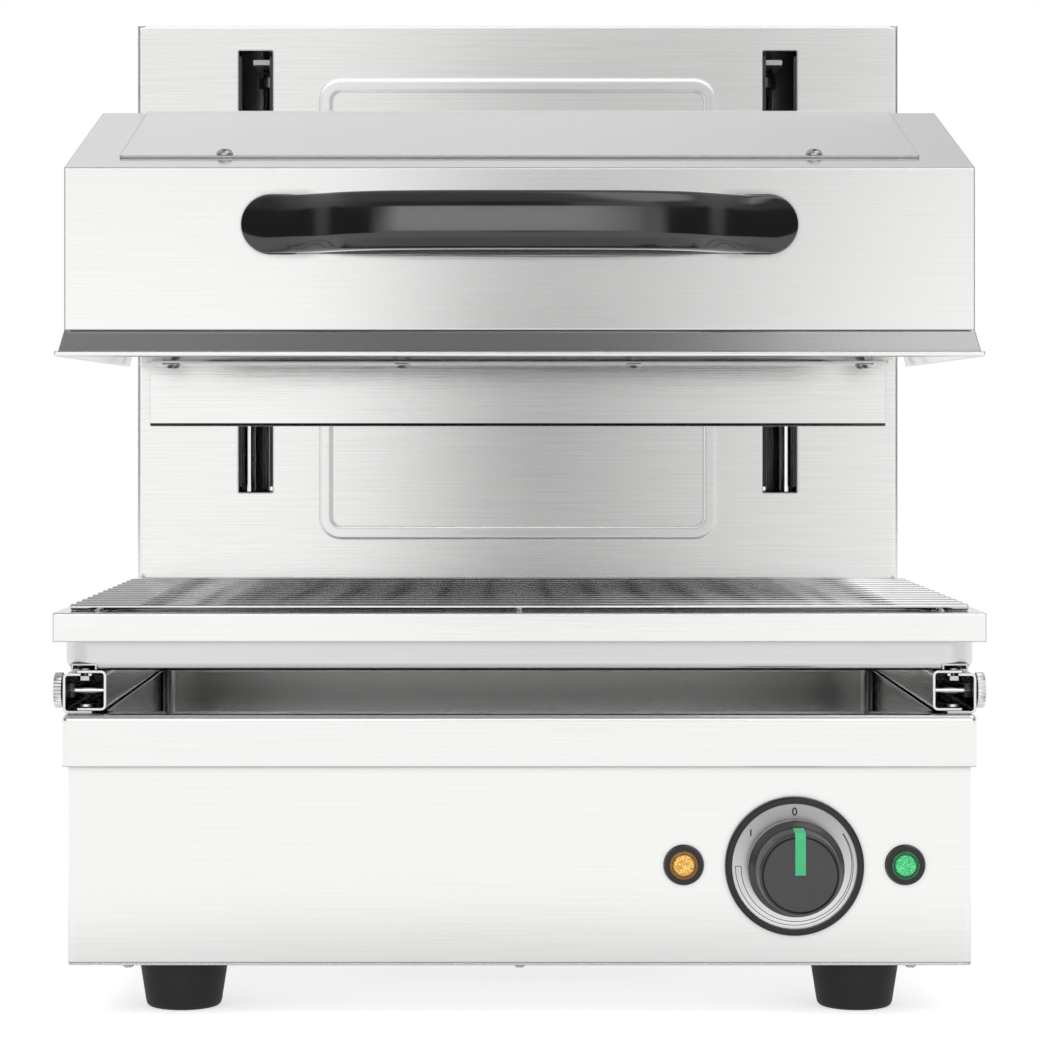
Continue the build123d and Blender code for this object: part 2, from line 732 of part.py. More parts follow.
# ---------------------------------------------------------------- guide rods and gas struts
rod_low = deck_height + 1.5
rod_high = column_top - 6.0
bracket_top = column_top - 18.5
bracket_sheet = 3.0
bracket_inner = slot_x - 32.0
bracket_outer = slot_x + 2.0
bracket_leg = 28.0
bracket_leg_outer = slot_x - 14.0
with BuildPart() as guide_rods:
    with BuildSketch(Plane.XY.offset(rod_low)):
        with Locations(*rod_points):
            Circle(rod_radius)
    extrude(amount=rod_high - rod_low)
    chamfer(guide_rods.edges().filter_by(GeomType.CIRCLE), 0.8)
keep(guide_rods, "guide_rods")

with BuildPart() as rod_brackets:
    for side in (-1, 1):
        with BuildSketch(Plane.XY.offset(bracket_top - bracket_sheet)):
            with Locations((side * (bracket_inner + bracket_outer) / 2, column_face + sheet)):
                Rectangle(
                    bracket_outer - bracket_inner,
                    rod_y + 14 - column_face - sheet,
                    align=(Align.CENTER, Align.MIN),
                )
            with Locations((side * rod_x, rod_y)):
                Circle(rod_radius + touch_gap, mode=Mode.SUBTRACT)
            with Locations((side * bracket_outer, column_face + sheet)):
                Rectangle(2 * (bracket_outer - bracket_leg_outer + 1), 12, mode=Mode.SUBTRACT)
        extrude(amount=bracket_sheet)
        with BuildSketch(Plane.XY.offset(bracket_top - bracket_leg)):
            with Locations((side * (bracket_inner + bracket_leg_outer - 1) / 2, column_face + sheet)):
                Rectangle(
                    bracket_leg_outer - 1 - bracket_inner,
                    bracket_sheet,
                    align=(Align.CENTER, Align.MIN),
                )
        extrude(amount=bracket_leg - bracket_sheet / 2)
keep(rod_brackets, "rod_brackets")

collar_radius = 8.2
collar_low = slider_bottom + slider_height + head_rise + 3.7
collar_height = 5.8
socket_flange_radius = 11.5
socket_flange_height = 4.0
socket_hub_radius = 10.0
socket_hub_height = 20.0
with BuildPart() as rod_collars:
    with BuildSketch(Plane.XY.offset(collar_low)):
        with Locations(*rod_points):
            Circle(collar_radius)
            Circle(rod_radius + touch_gap, mode=Mode.SUBTRACT)
    extrude(amount=collar_height)
    with BuildSketch(Plane.XY.offset(shell_top)):
        with Locations(*rod_points):
            Circle(socket_flange_radius)
    extrude(amount=socket_flange_height)
    with BuildSketch(Plane.XY.offset(shell_top + socket_flange_height)):
        with Locations(*rod_points):
            Circle(socket_hub_radius)
    extrude(amount=socket_hub_height - socket_flange_height, taper=3)
    with BuildSketch(Plane.XY.offset(rod_low)):
        with Locations(*rod_points):
            Circle(rod_radius + touch_gap)
    extrude(amount=socket_hub_height, mode=Mode.SUBTRACT)
keep(rod_collars, "rod_collars")

# The gas cylinders stand in the base on hat brackets and carry the weight of the head.
bracket_roof = floor_top + 18.8
strut_low = bracket_roof + 3.0
strut_high = slider_bottom - head_drop - 28.0
strut_wall = 1.8
strut_rod_radius = 4.0
strut_bore = strut_radius - strut_wall
strut_guide = 10.0
strut_stud = 12.0
hat_width = 44.0
hat_depth = 30.0
hat_foot = 11.0
hat_sheet = 2.5
with BuildPart() as gas_struts:
    with BuildSketch(Plane.XY.offset(bracket_roof)):
        with Locations(*strut_points):
            Circle(strut_radius)
    extrude(amount=strut_high - bracket_roof)
    with BuildSketch(Plane.XY.offset(strut_low + 4)):
        with Locations(*strut_points):
            Circle(strut_bore)
    extrude(amount=strut_high - strut_guide - strut_low - 4, mode=Mode.SUBTRACT)
    with BuildSketch(Plane.XY.offset(strut_low + 4)):
        with Locations(*strut_points):
            Circle(strut_rod_radius + touch_gap)
    extrude(amount=strut_high - strut_low, mode=Mode.SUBTRACT)
    with BuildSketch(Plane.XY.offset(bracket_roof - strut_stud)):
        with Locations(*strut_points):
            Circle(strut_rod_radius)
    extrude(amount=strut_stud)
    with BuildSketch(Plane.XY.offset(bracket_roof - hat_sheet - nut_height)):
        with Locations(*strut_points):
            RegularPolygon(strut_radius, 6)
    extrude(amount=nut_height)
keep(gas_struts, "gas_struts")

with BuildPart() as strut_brackets:
    for x, y in strut_points:
        with BuildSketch(facing(y - hat_depth / 2)):
            with BuildLine():
                Polyline(
                    (x - hat_width / 2, floor_top + hat_sheet / 2),
                    (x - hat_width / 2 + hat_foot, floor_top + hat_sheet / 2),
                    (x - hat_width / 2 + hat_foot, bracket_roof - hat_sheet / 2),
                    (x + hat_width / 2 - hat_foot, bracket_roof - hat_sheet / 2),
                    (x + hat_width / 2 - hat_foot, floor_top + hat_sheet / 2),
                    (x + hat_width / 2, floor_top + hat_sheet / 2),
                )
            trace(line_width=hat_sheet)
        extrude(amount=-hat_depth)
    with BuildSketch(Plane.XY.offset(bracket_roof - 2 * hat_sheet)):
        with Locations(*strut_points):
            Circle(strut_rod_radius + touch_gap)
    extrude(amount=3 * hat_sheet, mode=Mode.SUBTRACT)
keep(strut_brackets, "strut_brackets")

# ---------------------------------------------------------------- front controls
bezel_radius = 33.5
bezel_width = 3.2
bezel_height = 3.0
dial_height = 1.0
with BuildPart() as dial_bezel:
    with BuildSketch(facing(front)):
        with Locations((control_x, control_z)):
            Circle(bezel_radius)
            Circle(bezel_radius - bezel_width, mode=Mode.SUBTRACT)
    extrude(amount=bezel_height)
    fillet(dial_bezel.faces().sort_by(Axis.Y)[0].outer_wire().edges(), 1.2)
keep(dial_bezel, "dial_bezel")

with BuildPart() as dial_plate:
    with BuildSketch(facing(front)):
        with Locations((control_x, control_z)):
            Circle(bezel_radius - bezel_width - touch_gap)
            Circle(shaft_hole_radius, mode=Mode.SUBTRACT)
    extrude(amount=dial_height)
keep(dial_plate, "dial_plate")

regulator_width = 44.0
regulator_height = 48.0
regulator_depth = 33.0
shaft_inside = 14.0
tab_width = 6.3
tab_sheet = 0.8
tab_length = 8.0
with BuildPart() as energy_regulator:
    with BuildSketch(facing(front + sheet)):
        with Locations((control_x, control_z)):
            RectangleRounded(regulator_width, regulator_height, 3)
    extrude(amount=-regulator_depth)
    with BuildSketch(facing(front + sheet + regulator_depth)):
        with Locations((control_x, control_z)):
            with GridLocations(14, 12, 3, 2):
                Rectangle(tab_width, tab_sheet)
    extrude(amount=-tab_length)
    with BuildSketch(facing(front + sheet)):
        with Locations((control_x, control_z)):
            Circle(shaft_radius + touch_gap)
    extrude(amount=-shaft_inside, mode=Mode.SUBTRACT)
keep(energy_regulator, "energy_regulator")

# Knob: a straight skirt, a waisted body and a grooved front disc, with a green pointer.
knob_reach = 33.0
knob_base_radius = 23.2
knob_skirt = 11.0
knob_neck_radius = 19.6
knob_disc_radius = 17.9
knob_gap = 1.6
knob_axis = Axis((control_x, front, control_z), (0, 1, 0))
knob_plane = Plane((control_x, front, control_z), x_dir=(1, 0, 0), z_dir=(0, 0, 1))
with BuildPart() as knob:
    with BuildSketch(knob_plane):
        with BuildLine():
            Line((0, -knob_gap), (knob_base_radius - 0.6, -knob_gap))
            Line((knob_base_radius - 0.6, -knob_gap), (knob_base_radius, -knob_skirt))
            ThreePointArc(
                (knob_base_radius, -knob_skirt),
                (knob_base_radius - 0.8, -knob_skirt - 2.2),
                (knob_base_radius - 2.4, -knob_skirt - 3.4),
            )
            Line((knob_base_radius - 2.4, -knob_skirt - 3.4), (knob_neck_radius, -knob_reach + 2.0))
            ThreePointArc(
                (knob_neck_radius, -knob_reach + 2.0),
                (knob_neck_radius - 0.5, -knob_reach + 0.6),
                (knob_neck_radius - 1.3, -knob_reach + 0.2),
            )
            Polyline(
                (knob_neck_radius - 1.3, -knob_reach + 0.2),
                (knob_disc_radius, -knob_reach + 0.9),
                (knob_disc_radius - 0.7, -knob_reach),
                (0, -knob_reach),
                (0, -knob_gap),
            )
        make_face()
    revolve(axis=knob_axis)
    with BuildSketch(facing(front - knob_gap)):
        with Locations((control_x, control_z)):
            Circle(knob_base_radius - 4)
            Circle(shaft_radius + 4, mode=Mode.SUBTRACT)
    extrude(amount=knob_skirt * 1.6, taper=3, mode=Mode.SUBTRACT)
    with BuildSketch(facing(front - knob_gap)):
        with Locations((control_x, control_z)):
            Circle(shaft_radius + touch_gap)
    extrude(amount=knob_reach * 0.6, mode=Mode.SUBTRACT)
    # Seat for the pointer, cut through the front disc's edge and the waist.
    pointer_width = 5.0
    pointer_length = 23.0
    pointer_depth = 12.0
    with BuildSketch(facing(front - knob_reach + pointer_depth)):
        with Locations((control_x, control_z)):
            Rectangle(pointer_width, pointer_length, align=(Align.CENTER, Align.MIN))
    extrude(amount=pointer_depth, mode=Mode.SUBTRACT)
keep(knob, "knob")

with BuildPart() as knob_pointer:
    with BuildSketch(Plane.YZ.offset(control_x - pointer_width / 2)):
        with BuildLine():
            Polyline(
                (front - knob_reach + pointer_depth, control_z),
                (front - knob_reach - 0.4, control_z),
                (front - knob_reach - 0.4, control_z + knob_disc_radius),
                (front - knob_reach + pointer_depth - 1, control_z + pointer_length),
                (front - knob_reach + pointer_depth, control_z + pointer_length),
                close=True,
            )
        make_face()
    extrude(amount=pointer_width)
keep(knob_pointer, "knob_pointer")

with BuildPart() as knob_shaft:
    with BuildSketch(facing(front + sheet + shaft_inside - 1)):
        with Locations((control_x, control_z)):
            Circle(shaft_radius)
    extrude(amount=knob_gap + knob_reach * 0.55 + sheet + shaft_inside - 1)
keep(knob_shaft, "knob_shaft")

# Pilot lamps: a black bezel on the panel, a holder behind it, and a faceted lens in front.
lamp_ring_radius = 9.9
lamp_ring_height = 2.6
lamp_depth = 26.0
lens_radius = 7.0
lens_reach = 3.6
lens_seat = 1.0
lamp_points = [(amber_x, lamp_z), (green_x, lamp_z)]
with BuildPart() as lamp_holders:
    with BuildSketch(facing(front)):
        with Locations(*lamp_points):
            Circle(lamp_ring_radius)
    extrude(amount=lamp_ring_height, taper=14)
    with BuildSketch(facing(front - lens_seat)):
        with Locations(*lamp_points):
            Circle(lens_radius)
    extrude(amount=lamp_ring_height, mode=Mode.SUBTRACT)
    with BuildSketch(facing(front)):
        with Locations(*lamp_points):
            Circle(lamp_body_radius)
    extrude(amount=-lamp_depth)
    with BuildSketch(facing(front + lamp_depth)):
        with Locations(*lamp_points):
            with GridLocations(6, 0, 2, 1):
                Rectangle(tab_sheet, tab_width)
    extrude(amount=-tab_length)
keep(lamp_holders, "lamp_holders")

for lens_x, lens_name in ((amber_x, "lamp_lens_amber"), (green_x, "lamp_lens_green")):
    with BuildPart() as lamp_lens:
        with BuildSketch(facing(front - lens_seat)):
            with Locations((lens_x, lamp_z)):
                Circle(lens_radius)
        extrude(amount=lens_reach - lens_seat, taper=12)
        fillet(lamp_lens.faces().sort_by(Axis.Y)[0].edges(), 0.9)
    keep(lamp_lens, lens_name)

# Mains terminal block on the floor, beside the cable gland.
block_length = 46.0
block_width = 18.0
block_height = 16.0
block_ways = 3
with BuildPart() as terminal_block:
    with BuildSketch(Plane.XY.offset(floor_top)):
        with Locations((gland_x + 45, back - 60)):
            Rectangle(block_length, block_width)
    extrude(amount=block_height)
    with BuildSketch(Plane.XY.offset(floor_top + block_height)):
        with Locations((gland_x + 45, back - 60)):
            with GridLocations(block_length / block_ways, block_width / 2, block_ways, 2):
                Circle(2.2)
    extrude(amount=-6, mode=Mode.SUBTRACT)
keep(terminal_block, "terminal_block")

# ---------------------------------------------------------------- heated head
head_half = head_width / 2
head_back_y = column_face - 3.5
slope = atan2(head_roof - head_front_top, slope_depth)
slope_degrees = degrees(slope)
cover_half = head_half - 24.0
cover_front = front + 24.0
cover_back = head_back_y - 3.5
opening_half = cover_half - 18.0
cover_screw_x = cover_half - 51.0
cover_screw_radius = 1.9
front_screw_y = front + 29.0
rear_screw_y = head_back_y - 12.0
handle_z = 385.0
handle_half = 134.5
handle_screw_x = handle_half - 24.5
handle_screw_radius = 2.5


def on_slope(y):
    """Height of the head's sloping top at this depth."""
    return head_front_top + (y - front) * tan(slope)


slope_screw_plane = Plane(
    (0, front_screw_y, on_slope(front_screw_y)), x_dir=(1, 0, 0), z_dir=(0, -sin(slope), cos(slope))
)
flat_screw_plane = Plane.XY.offset(head_roof)

with BuildPart() as head_shell:
    with BuildSketch(Plane.YZ.offset(-head_half)):
        with BuildLine():
            Polyline(
                (front, head_floor),
                (front, head_front_top),
                (front + slope_depth, head_roof),
                (head_back_y, head_roof),
                (head_back_y, head_floor),
                close=True,
            )
        make_face()
    extrude(amount=head_width)
    top_folds = head_shell.edges().filter_by(Axis.X).group_by(Axis.Z)[-1].sort_by(Axis.Y)[0]
    fillet(top_folds, 3.0)
    with BuildSketch(Plane.YZ.offset(-head_half + sheet)):
        with BuildLine():
            Polyline(
                (front + sheet, head_floor),
                (front + sheet, head_front_top - sheet / cos(slope) + sheet * tan(slope)),
                (front + slope_depth, head_roof - sheet / cos(slope)),
                (front + slope_depth + 4, head_roof - sheet),
                (head_back_y, head_roof - sheet),
                (head_back_y, head_floor),
                close=True,
            )
        make_face()
    extrude(amount=head_width - 2 * sheet, mode=Mode.SUBTRACT)
    with BuildSketch(Plane.XY.offset(head_front_top + 1)):
        with Locations((0, (front_screw_y + rear_screw_y) / 2)):
            Rectangle(2 * opening_half, rear_screw_y - front_screw_y - 24)
    extrude(amount=head_roof, mode=Mode.SUBTRACT)
    with BuildSketch(facing(front)):
        with Locations((-handle_screw_x, handle_z), (handle_screw_x, handle_z)):
            Circle(handle_screw_radius + touch_gap)
    extrude(amount=-2 * sheet, mode=Mode.SUBTRACT)
    with BuildSketch(slope_screw_plane):
        with Locations((-cover_screw_x, 0), (cover_screw_x, 0)):
            Circle(cover_screw_radius)
    extrude(amount=3 * sheet, both=True, mode=Mode.SUBTRACT)
    with BuildSketch(flat_screw_plane):
        with Locations((-cover_screw_x, rear_screw_y), (cover_screw_x, rear_screw_y)):
            Circle(cover_screw_radius)
    extrude(amount=-3 * sheet, mode=Mode.SUBTRACT)
keep(head_shell, "head_shell")

with BuildPart() as head_cover:
    with BuildSketch(Plane.YZ.offset(-cover_half)):
        with BuildLine():
            Polyline(
                (cover_front, on_slope(cover_front)),
                (front + slope_depth, head_roof),
                (cover_back, head_roof),
                (cover_back, head_roof + sheet),
                (front + slope_depth - sheet * tan(slope / 2), head_roof + sheet),
                (cover_front - sheet * sin(slope), on_slope(cover_front) + sheet * cos(slope)),
                close=True,
            )
        make_face()
    extrude(amount=2 * cover_half)
    with BuildSketch(slope_screw_plane):
        with Locations((-cover_screw_x, 0), (cover_screw_x, 0)):
            Circle(cover_screw_radius)
    extrude(amount=3 * sheet, both=True, mode=Mode.SUBTRACT)
    with BuildSketch(flat_screw_plane):
        with Locations((-cover_screw_x, rear_screw_y), (cover_screw_x, rear_screw_y)):
            Circle(cover_screw_radius)
    extrude(amount=3 * sheet, mode=Mode.SUBTRACT)
keep(head_cover, "head_cover")

cover_screw = dome_screw(4.15, 2.4, cover_screw_radius - touch_gap, 7.0)
with BuildPart() as cover_screws:
    with Locations(
        *[
            Location(
                (x, front_screw_y - sheet * sin(slope), on_slope(front_screw_y) + sheet * cos(slope)),
                (slope_degrees, 0, 0),
            )
            for x in (-cover_screw_x, cover_screw_x)
        ]
    ):
        add(cover_screw)
    with Locations(*[(x, rear_screw_y, head_roof + sheet) for x in (-cover_screw_x, cover_screw_x)]):
        add(cover_screw)
keep(cover_screws, "cover_screws")

# Back wall of the head, bolted through to the carriage behind it.
carriage_plate_low = head_floor - 47.0
carriage_plate_high = head_roof - 4.0
carriage_half = head_half - 10.0
carriage_sheet = 1.5
bolt_radius = 3.0
bolt_rows = (slider_bottom + 44.0, slider_bottom + 66.0)
bolt_points = [(x, z) for z in bolt_rows for x in (-slot_x, slot_x)]
with BuildPart() as head_back:
    with BuildSketch(facing(head_back_y)):
        with Locations((0, (head_floor + head_roof - sheet) / 2)):
            Rectangle(head_width - 2 * sheet - 2 * touch_gap, head_roof - sheet - head_floor - touch_gap)
        with Locations(*bolt_points):
            Circle(bolt_radius + touch_gap, mode=Mode.SUBTRACT)
    extrude(amount=sheet)
    with BuildSketch(facing(head_back_y - sheet)):
        with Locations((0, head_roof - sheet - touch_gap - 6)):
            Rectangle(2 * (head_half - 20), sheet)
    extrude(amount=10)
keep(head_back, "head_back")

# Flared skirt: a folded frame of three sides under the head, with a rolled lower edge.
skirt_low = head_floor - 13.0
skirt_flare = 3.0
skirt_roll = 1.3
upstand = 12.0
skirt_top_middle = (front + head_back_y) / 2
skirt_low_middle = (front - skirt_flare + head_back_y) / 2
skirt_length = head_back_y - front
with BuildPart() as head_skirt:
    with BuildSketch(Plane.XY.offset(head_floor)):
        with Locations((0, skirt_top_middle)):
            Rectangle(head_width, skirt_length)
    with BuildSketch(Plane.XY.offset(skirt_low + skirt_roll)):
        with Locations((0, skirt_low_middle)):
            Rectangle(head_width + 2 * skirt_flare, skirt_length + skirt_flare)
    loft(ruled=True)
    with BuildSketch(Plane.XY.offset(skirt_low)):
        with Locations((0, skirt_low_middle - skirt_roll / 2)):
            Rectangle(head_width + 2 * skirt_flare + 2 * skirt_roll, skirt_length + skirt_flare + skirt_roll)
    extrude(amount=2 * skirt_roll)
    roll_faces = head_skirt.edges().filter_by(GeomType.LINE).group_by(Axis.Z)[0].sort_by(Axis.Y)[0:3]
    fillet(roll_faces, skirt_roll * 0.95)
    with BuildSketch(Plane.XY.offset(head_floor - sheet)):
        with Locations((0, skirt_top_middle + sheet)):
            Rectangle(head_width - 2 * sheet, skirt_length)
    with BuildSketch(Plane.XY.offset(skirt_low)):
        with Locations((0, skirt_low_middle + sheet)):
            Rectangle(head_width + 2 * skirt_flare - 2 * sheet, skirt_length + skirt_flare)
    loft(ruled=True, mode=Mode.SUBTRACT)
    with BuildSketch(Plane.XY.offset(head_floor - sheet)):
        with Locations((0, skirt_top_middle)):
            Rectangle(head_width - 4 * sheet, skirt_length)
    extrude(amount=2 * sheet, mode=Mode.SUBTRACT)
    with BuildSketch(Plane.XY.offset(head_floor - sheet / 2)):
        with Locations((0, skirt_top_middle)):
            Rectangle(head_width - 2 * sheet - 2 * touch_gap, skirt_length - 2 * sheet - 2 * touch_gap)
            Rectangle(head_width - 4 * sheet, skirt_length - 4 * sheet, mode=Mode.SUBTRACT)
        with Locations((0, head_back_y)):
            Rectangle(head_width - 3 * sheet, 12, mode=Mode.SUBTRACT)
    extrude(amount=upstand)
keep(head_skirt, "head_skirt")

# ---------------------------------------------------------------- heaters in the head
reflector_flange_z = head_floor - sheet / 2 + upstand
reflector_rise = 15.0
reflector_half = head_half - 24.0
reflector_front = front + 14.0
reflector_back = head_back_y - 22.5
reflector_middle = (reflector_front + reflector_back) / 2
element_z = head_floor + 3.5
element_radius = 3.4
element_runs = 6
element_inner = 19.0
element_outer = reflector_half - 22.0
element_pitch = (element_outer - element_inner) / (element_runs - 1)
tail_y = head_back_y - 11.5
tail_bend = 6.0
tail_top = reflector_flange_z + 26.0
run_front = reflector_front + 10.0
run_back = reflector_back - 12.0
turn_radius = element_pitch / 2 - 0.5
hanger_places = (run_front + 61.0, run_back - 52.0)
hanger_low = element_z - 6.0
insulator_radius = 5.5
insulator_flange = 8.0
tail_points = [
    (side * (element_inner + run * element_pitch), tail_y)
    for side in (-1, 1)
    for run in (0, element_runs - 1)
]
with BuildPart() as reflector:
    with BuildSketch(Plane.XY.offset(reflector_flange_z)):
        with Locations((0, reflector_middle)):
            RectangleRounded(
                2 * reflector_half + 2 * sheet, reflector_back - reflector_front + 2 * sheet, 8
            )
    extrude(amount=reflector_rise + sheet)
    with BuildSketch(Plane.XY.offset(reflector_flange_z)):
        with Locations((0, (front + 2 * sheet + head_back_y - 2 * sheet) / 2)):
            Rectangle(head_width - 2.5 * sheet, head_back_y - front - 4 * sheet)
        with Locations(*tail_points):
            Circle(insulator_radius + touch_gap, mode=Mode.SUBTRACT)
    extrude(amount=sheet)
    with BuildSketch(Plane.XY.offset(reflector_flange_z)):
        with Locations((0, reflector_middle)):
            RectangleRounded(2 * reflector_half, reflector_back - reflector_front, 7)
    extrude(amount=reflector_rise, mode=Mode.SUBTRACT)
keep(reflector, "reflector")

# Two serpentine tube heaters; both ends of each turn up through the reflector's rear flange.
with BuildPart() as heating_elements:
    for side in (-1, 1):
        runs = []
        for run in range(element_runs):
            run_x = side * (element_inner + run * element_pitch)
            ends = (run_back, run_front) if run % 2 == 0 else (run_front, run_back)
            runs.append((run_x, ends[0]))
            runs.append((run_x, ends[1]))
        runs[0] = (runs[0][0], tail_y - tail_bend)
        runs[-1] = (runs[-1][0], tail_y - tail_bend)
        with BuildLine(Plane.XY.offset(element_z)) as path:
            FilletPolyline(*runs, radius=turn_radius)
        with BuildSketch(facing(tail_y - tail_bend)):
            with Locations((runs[0][0], element_z)):
                Circle(element_radius)
        sweep(path=path.wires()[0])
        for tail_x in (runs[0][0], runs[-1][0]):
            with BuildSketch(facing(tail_y - tail_bend)):
                with Locations((tail_x, element_z)):
                    Circle(element_radius)
            revolve(
                axis=Axis((tail_x, tail_y - tail_bend, element_z + tail_bend), (1, 0, 0)),
                revolution_arc=90,
            )
            with BuildSketch(Plane.XY.offset(element_z + tail_bend)):
                with Locations((tail_x, tail_y)):
                    Circle(element_radius)
            extrude(amount=tail_top - element_z - tail_bend)
keep(heating_elements, "heating_elements")

with BuildPart() as element_hangers:
    for y in hanger_places:
        with BuildSketch(facing(y)):
            with BuildLine():
                Polyline(
                    (-reflector_half + 12, hanger_low),
                    (reflector_half - 12, hanger_low),
                    (reflector_half - 12, reflector_flange_z + reflector_rise),
                    (-reflector_half + 12, reflector_flange_z + reflector_rise),
                    close=True,
                )
            make_face()
            for side in (-1, 1):
                with Locations((side * (element_inner + element_pitch * (element_runs - 1) / 2), element_z)):
                    with GridLocations(element_pitch, 0, element_runs, 1):
                        Circle(element_radius + touch_gap, mode=Mode.SUBTRACT)
        extrude(amount=-sheet)
keep(element_hangers, "element_hangers")

with BuildPart() as element_insulators:
    with BuildSketch(Plane.XY.offset(reflector_flange_z - sheet)):
        with Locations(*tail_points):
            Circle(insulator_radius)
    extrude(amount=2 * sheet)
    with BuildSketch(Plane.XY.offset(reflector_flange_z + sheet)):
        with Locations(*tail_points):
            Circle(insulator_flange)
    extrude(amount=9, taper=8)
    with BuildSketch(Plane.XY.offset(reflector_flange_z - 4)):
        with Locations(*tail_points):
            Circle(element_radius + touch_gap)
    extrude(amount=20, mode=Mode.SUBTRACT)
keep(element_insulators, "element_insulators")

# ---------------------------------------------------------------- bow handle
handle_height = 28.0
handle_flat = 16.0
handle_bevel = 6.0
pad_sheet = 1.5
pad_height = 29.0
pad_length = 38.0
handle_screw_depth = 8.0
# Outer reach and inner clearance of the bow at these distances from its middle.
bow_outer = (
    (handle_half - 29.5, handle_reach - 32.0),
    (handle_half - 52.5, handle_reach - 12.0),
    (handle_half - 78.5, handle_reach - 3.0),
    (0.0, handle_reach),
)
bow_inner = (
    (handle_half - 33.5, pad_sheet),
    (handle_half - 52.5, handle_reach - 29.5),
    (handle_half - 78.5, handle_reach - 17.0),
    (0.0, handle_reach - 13.0),
)
with BuildPart() as handle:
    for rise, bevel in (
        (-handle_height / 2, handle_bevel),
        (-handle_flat / 2, 0),
        (handle_flat / 2, 0),
        (handle_height / 2, handle_bevel),
    ):
        bow_end = (handle_half - bevel, front - pad_sheet)
        left = [(-bow_end[0], bow_end[1])] + [(-x, front - y + bevel) for x, y in bow_outer[:-1]]
        right = [(x, front - y + bevel) for x, y in reversed(bow_outer)] + [bow_end]
        gap_left = [(-x, front - y) for x, y in bow_inner[:-1]]
        gap_right = [(x, front - y) for x, y in reversed(bow_inner)]
        with BuildSketch(Plane.XY.offset(handle_z + rise)):
            with BuildLine():
                Spline(*(left + right))
                Spline(*(gap_left + gap_right))
                Line(left[0], gap_left[0])
                Line(right[-1], gap_right[-1])
            make_face()
    loft(ruled=True)
    with BuildSketch(facing(front)):
        with Locations((0, handle_z)):
            SlotOverall(2 * handle_half, handle_height)
    extrude(amount=2 * handle_reach, mode=Mode.INTERSECT)
    with BuildSketch(facing(front)):
        with Locations((-handle_screw_x, handle_z), (handle_screw_x, handle_z)):
            Circle(handle_screw_radius)
    extrude(amount=handle_screw_depth, mode=Mode.SUBTRACT)
keep(handle, "handle")

with BuildPart() as handle_pads:
    with BuildSketch(facing(front)):
        for side in (-1, 1):
            with Locations((side * (handle_half - pad_length / 2), handle_z)):
                SlotOverall(pad_length, pad_height)
            with Locations((side * handle_screw_x, handle_z)):
                Circle(handle_screw_radius + touch_gap, mode=Mode.SUBTRACT)
    extrude(amount=pad_sheet)
keep(handle_pads, "handle_pads")

handle_screw = dome_screw(4.6, 3.0, handle_screw_radius, handle_screw_depth + sheet - 0.5)
with BuildPart() as handle_screws:
    with Locations(
        *[Location((x, front + sheet, handle_z), (-90, 0, 0)) for x in (-handle_screw_x, handle_screw_x)]
    ):
        add(handle_screw)
keep(handle_screws, "handle_screws")

# ---------------------------------------------------------------- carriage behind the head
angle_top = head_floor - 10.0
angle_depth = 30.0
angle_half = head_half - 12.0
angle_screw_y = head_back_y - 14.0
angle_screw_spread = angle_half - 10.0
angle_screw_places = [(angle_screw_spread * share / 3, angle_screw_y) for share in (-3, -1, 1, 3)]
with BuildPart() as carriage_plate:
    with BuildSketch(facing(head_back_y)):
        with Locations((0, (carriage_plate_low + carriage_plate_high) / 2)):
            Rectangle(2 * carriage_half, carriage_plate_high - carriage_plate_low)
        with Locations(*bolt_points):
            Circle(bolt_radius + touch_gap, mode=Mode.SUBTRACT)
    extrude(amount=-carriage_sheet)
keep(carriage_plate, "carriage_plate")

with BuildPart() as carriage_angle:
    with BuildSketch(Plane.YZ.offset(-angle_half)):
        with BuildLine():
            FilletPolyline(
                (head_back_y - angle_depth, angle_top - carriage_sheet / 2),
                (head_back_y - carriage_sheet / 2, angle_top - carriage_sheet / 2),
                (head_back_y - carriage_sheet / 2, head_floor - touch_gap),
                radius=1.6,
            )
        trace(line_width=carriage_sheet)
    extrude(amount=2 * angle_half)
    with BuildSketch(Plane.XY.offset(angle_top)):
        with Locations(*angle_screw_places):
            Circle(2.0)
    extrude(amount=-2 * carriage_sheet, mode=Mode.SUBTRACT)
keep(carriage_angle, "carriage_angle")

spacer_width = 12.0
spacer_back = column_face + 19.0
slider_low = slider_bottom
slider_high = slider_bottom + slider_height
shelf_height = 10.0
slider_inner = slot_x - 24.0
slider_outer = slot_x + 16.0
slider_plate = 6.0
shelf_front = column_face + 10.0
lug_radius = 11.0
lug_height = 24.0
lug_bore = 8.0
angle_screw = dome_screw(3.9, 2.9, 1.95, 7.5)
bolt = dome_screw(5.5, 3.6, bolt_radius, spacer_back + slider_plate - head_back_y + sheet)
with BuildPart() as carriage_screws:
    with Locations(
        *[Location((x, y, angle_top - carriage_sheet), (180, 0, 0)) for x, y in angle_screw_places]
    ):
        add(angle_screw)
    with BuildSketch(Plane.XY.offset(angle_top)):
        with Locations(*angle_screw_places):
            RegularPolygon(3.8, 6)
    extrude(amount=3.2)
    with Locations(*[Location((x, head_back_y - sheet, z), (90, 0, 0)) for x, z in bolt_points]):
        add(bolt)
keep(carriage_screws, "carriage_screws")

with BuildPart() as slot_spacers:
    with BuildSketch(Plane.XY.offset(slider_low + shelf_height)):
        with Locations((0, (head_back_y + carriage_sheet + spacer_back) / 2)):
            with GridLocations(2 * slot_x, 0, 2, 1):
                Rectangle(spacer_width, spacer_back - head_back_y - carriage_sheet)
    extrude(amount=slider_height - shelf_height)
    with BuildSketch(facing(head_back_y)):
        with Locations(*bolt_points):
            Circle(bolt_radius + touch_gap)
    extrude(amount=-40, mode=Mode.SUBTRACT)
keep(slot_spacers, "slot_spacers")

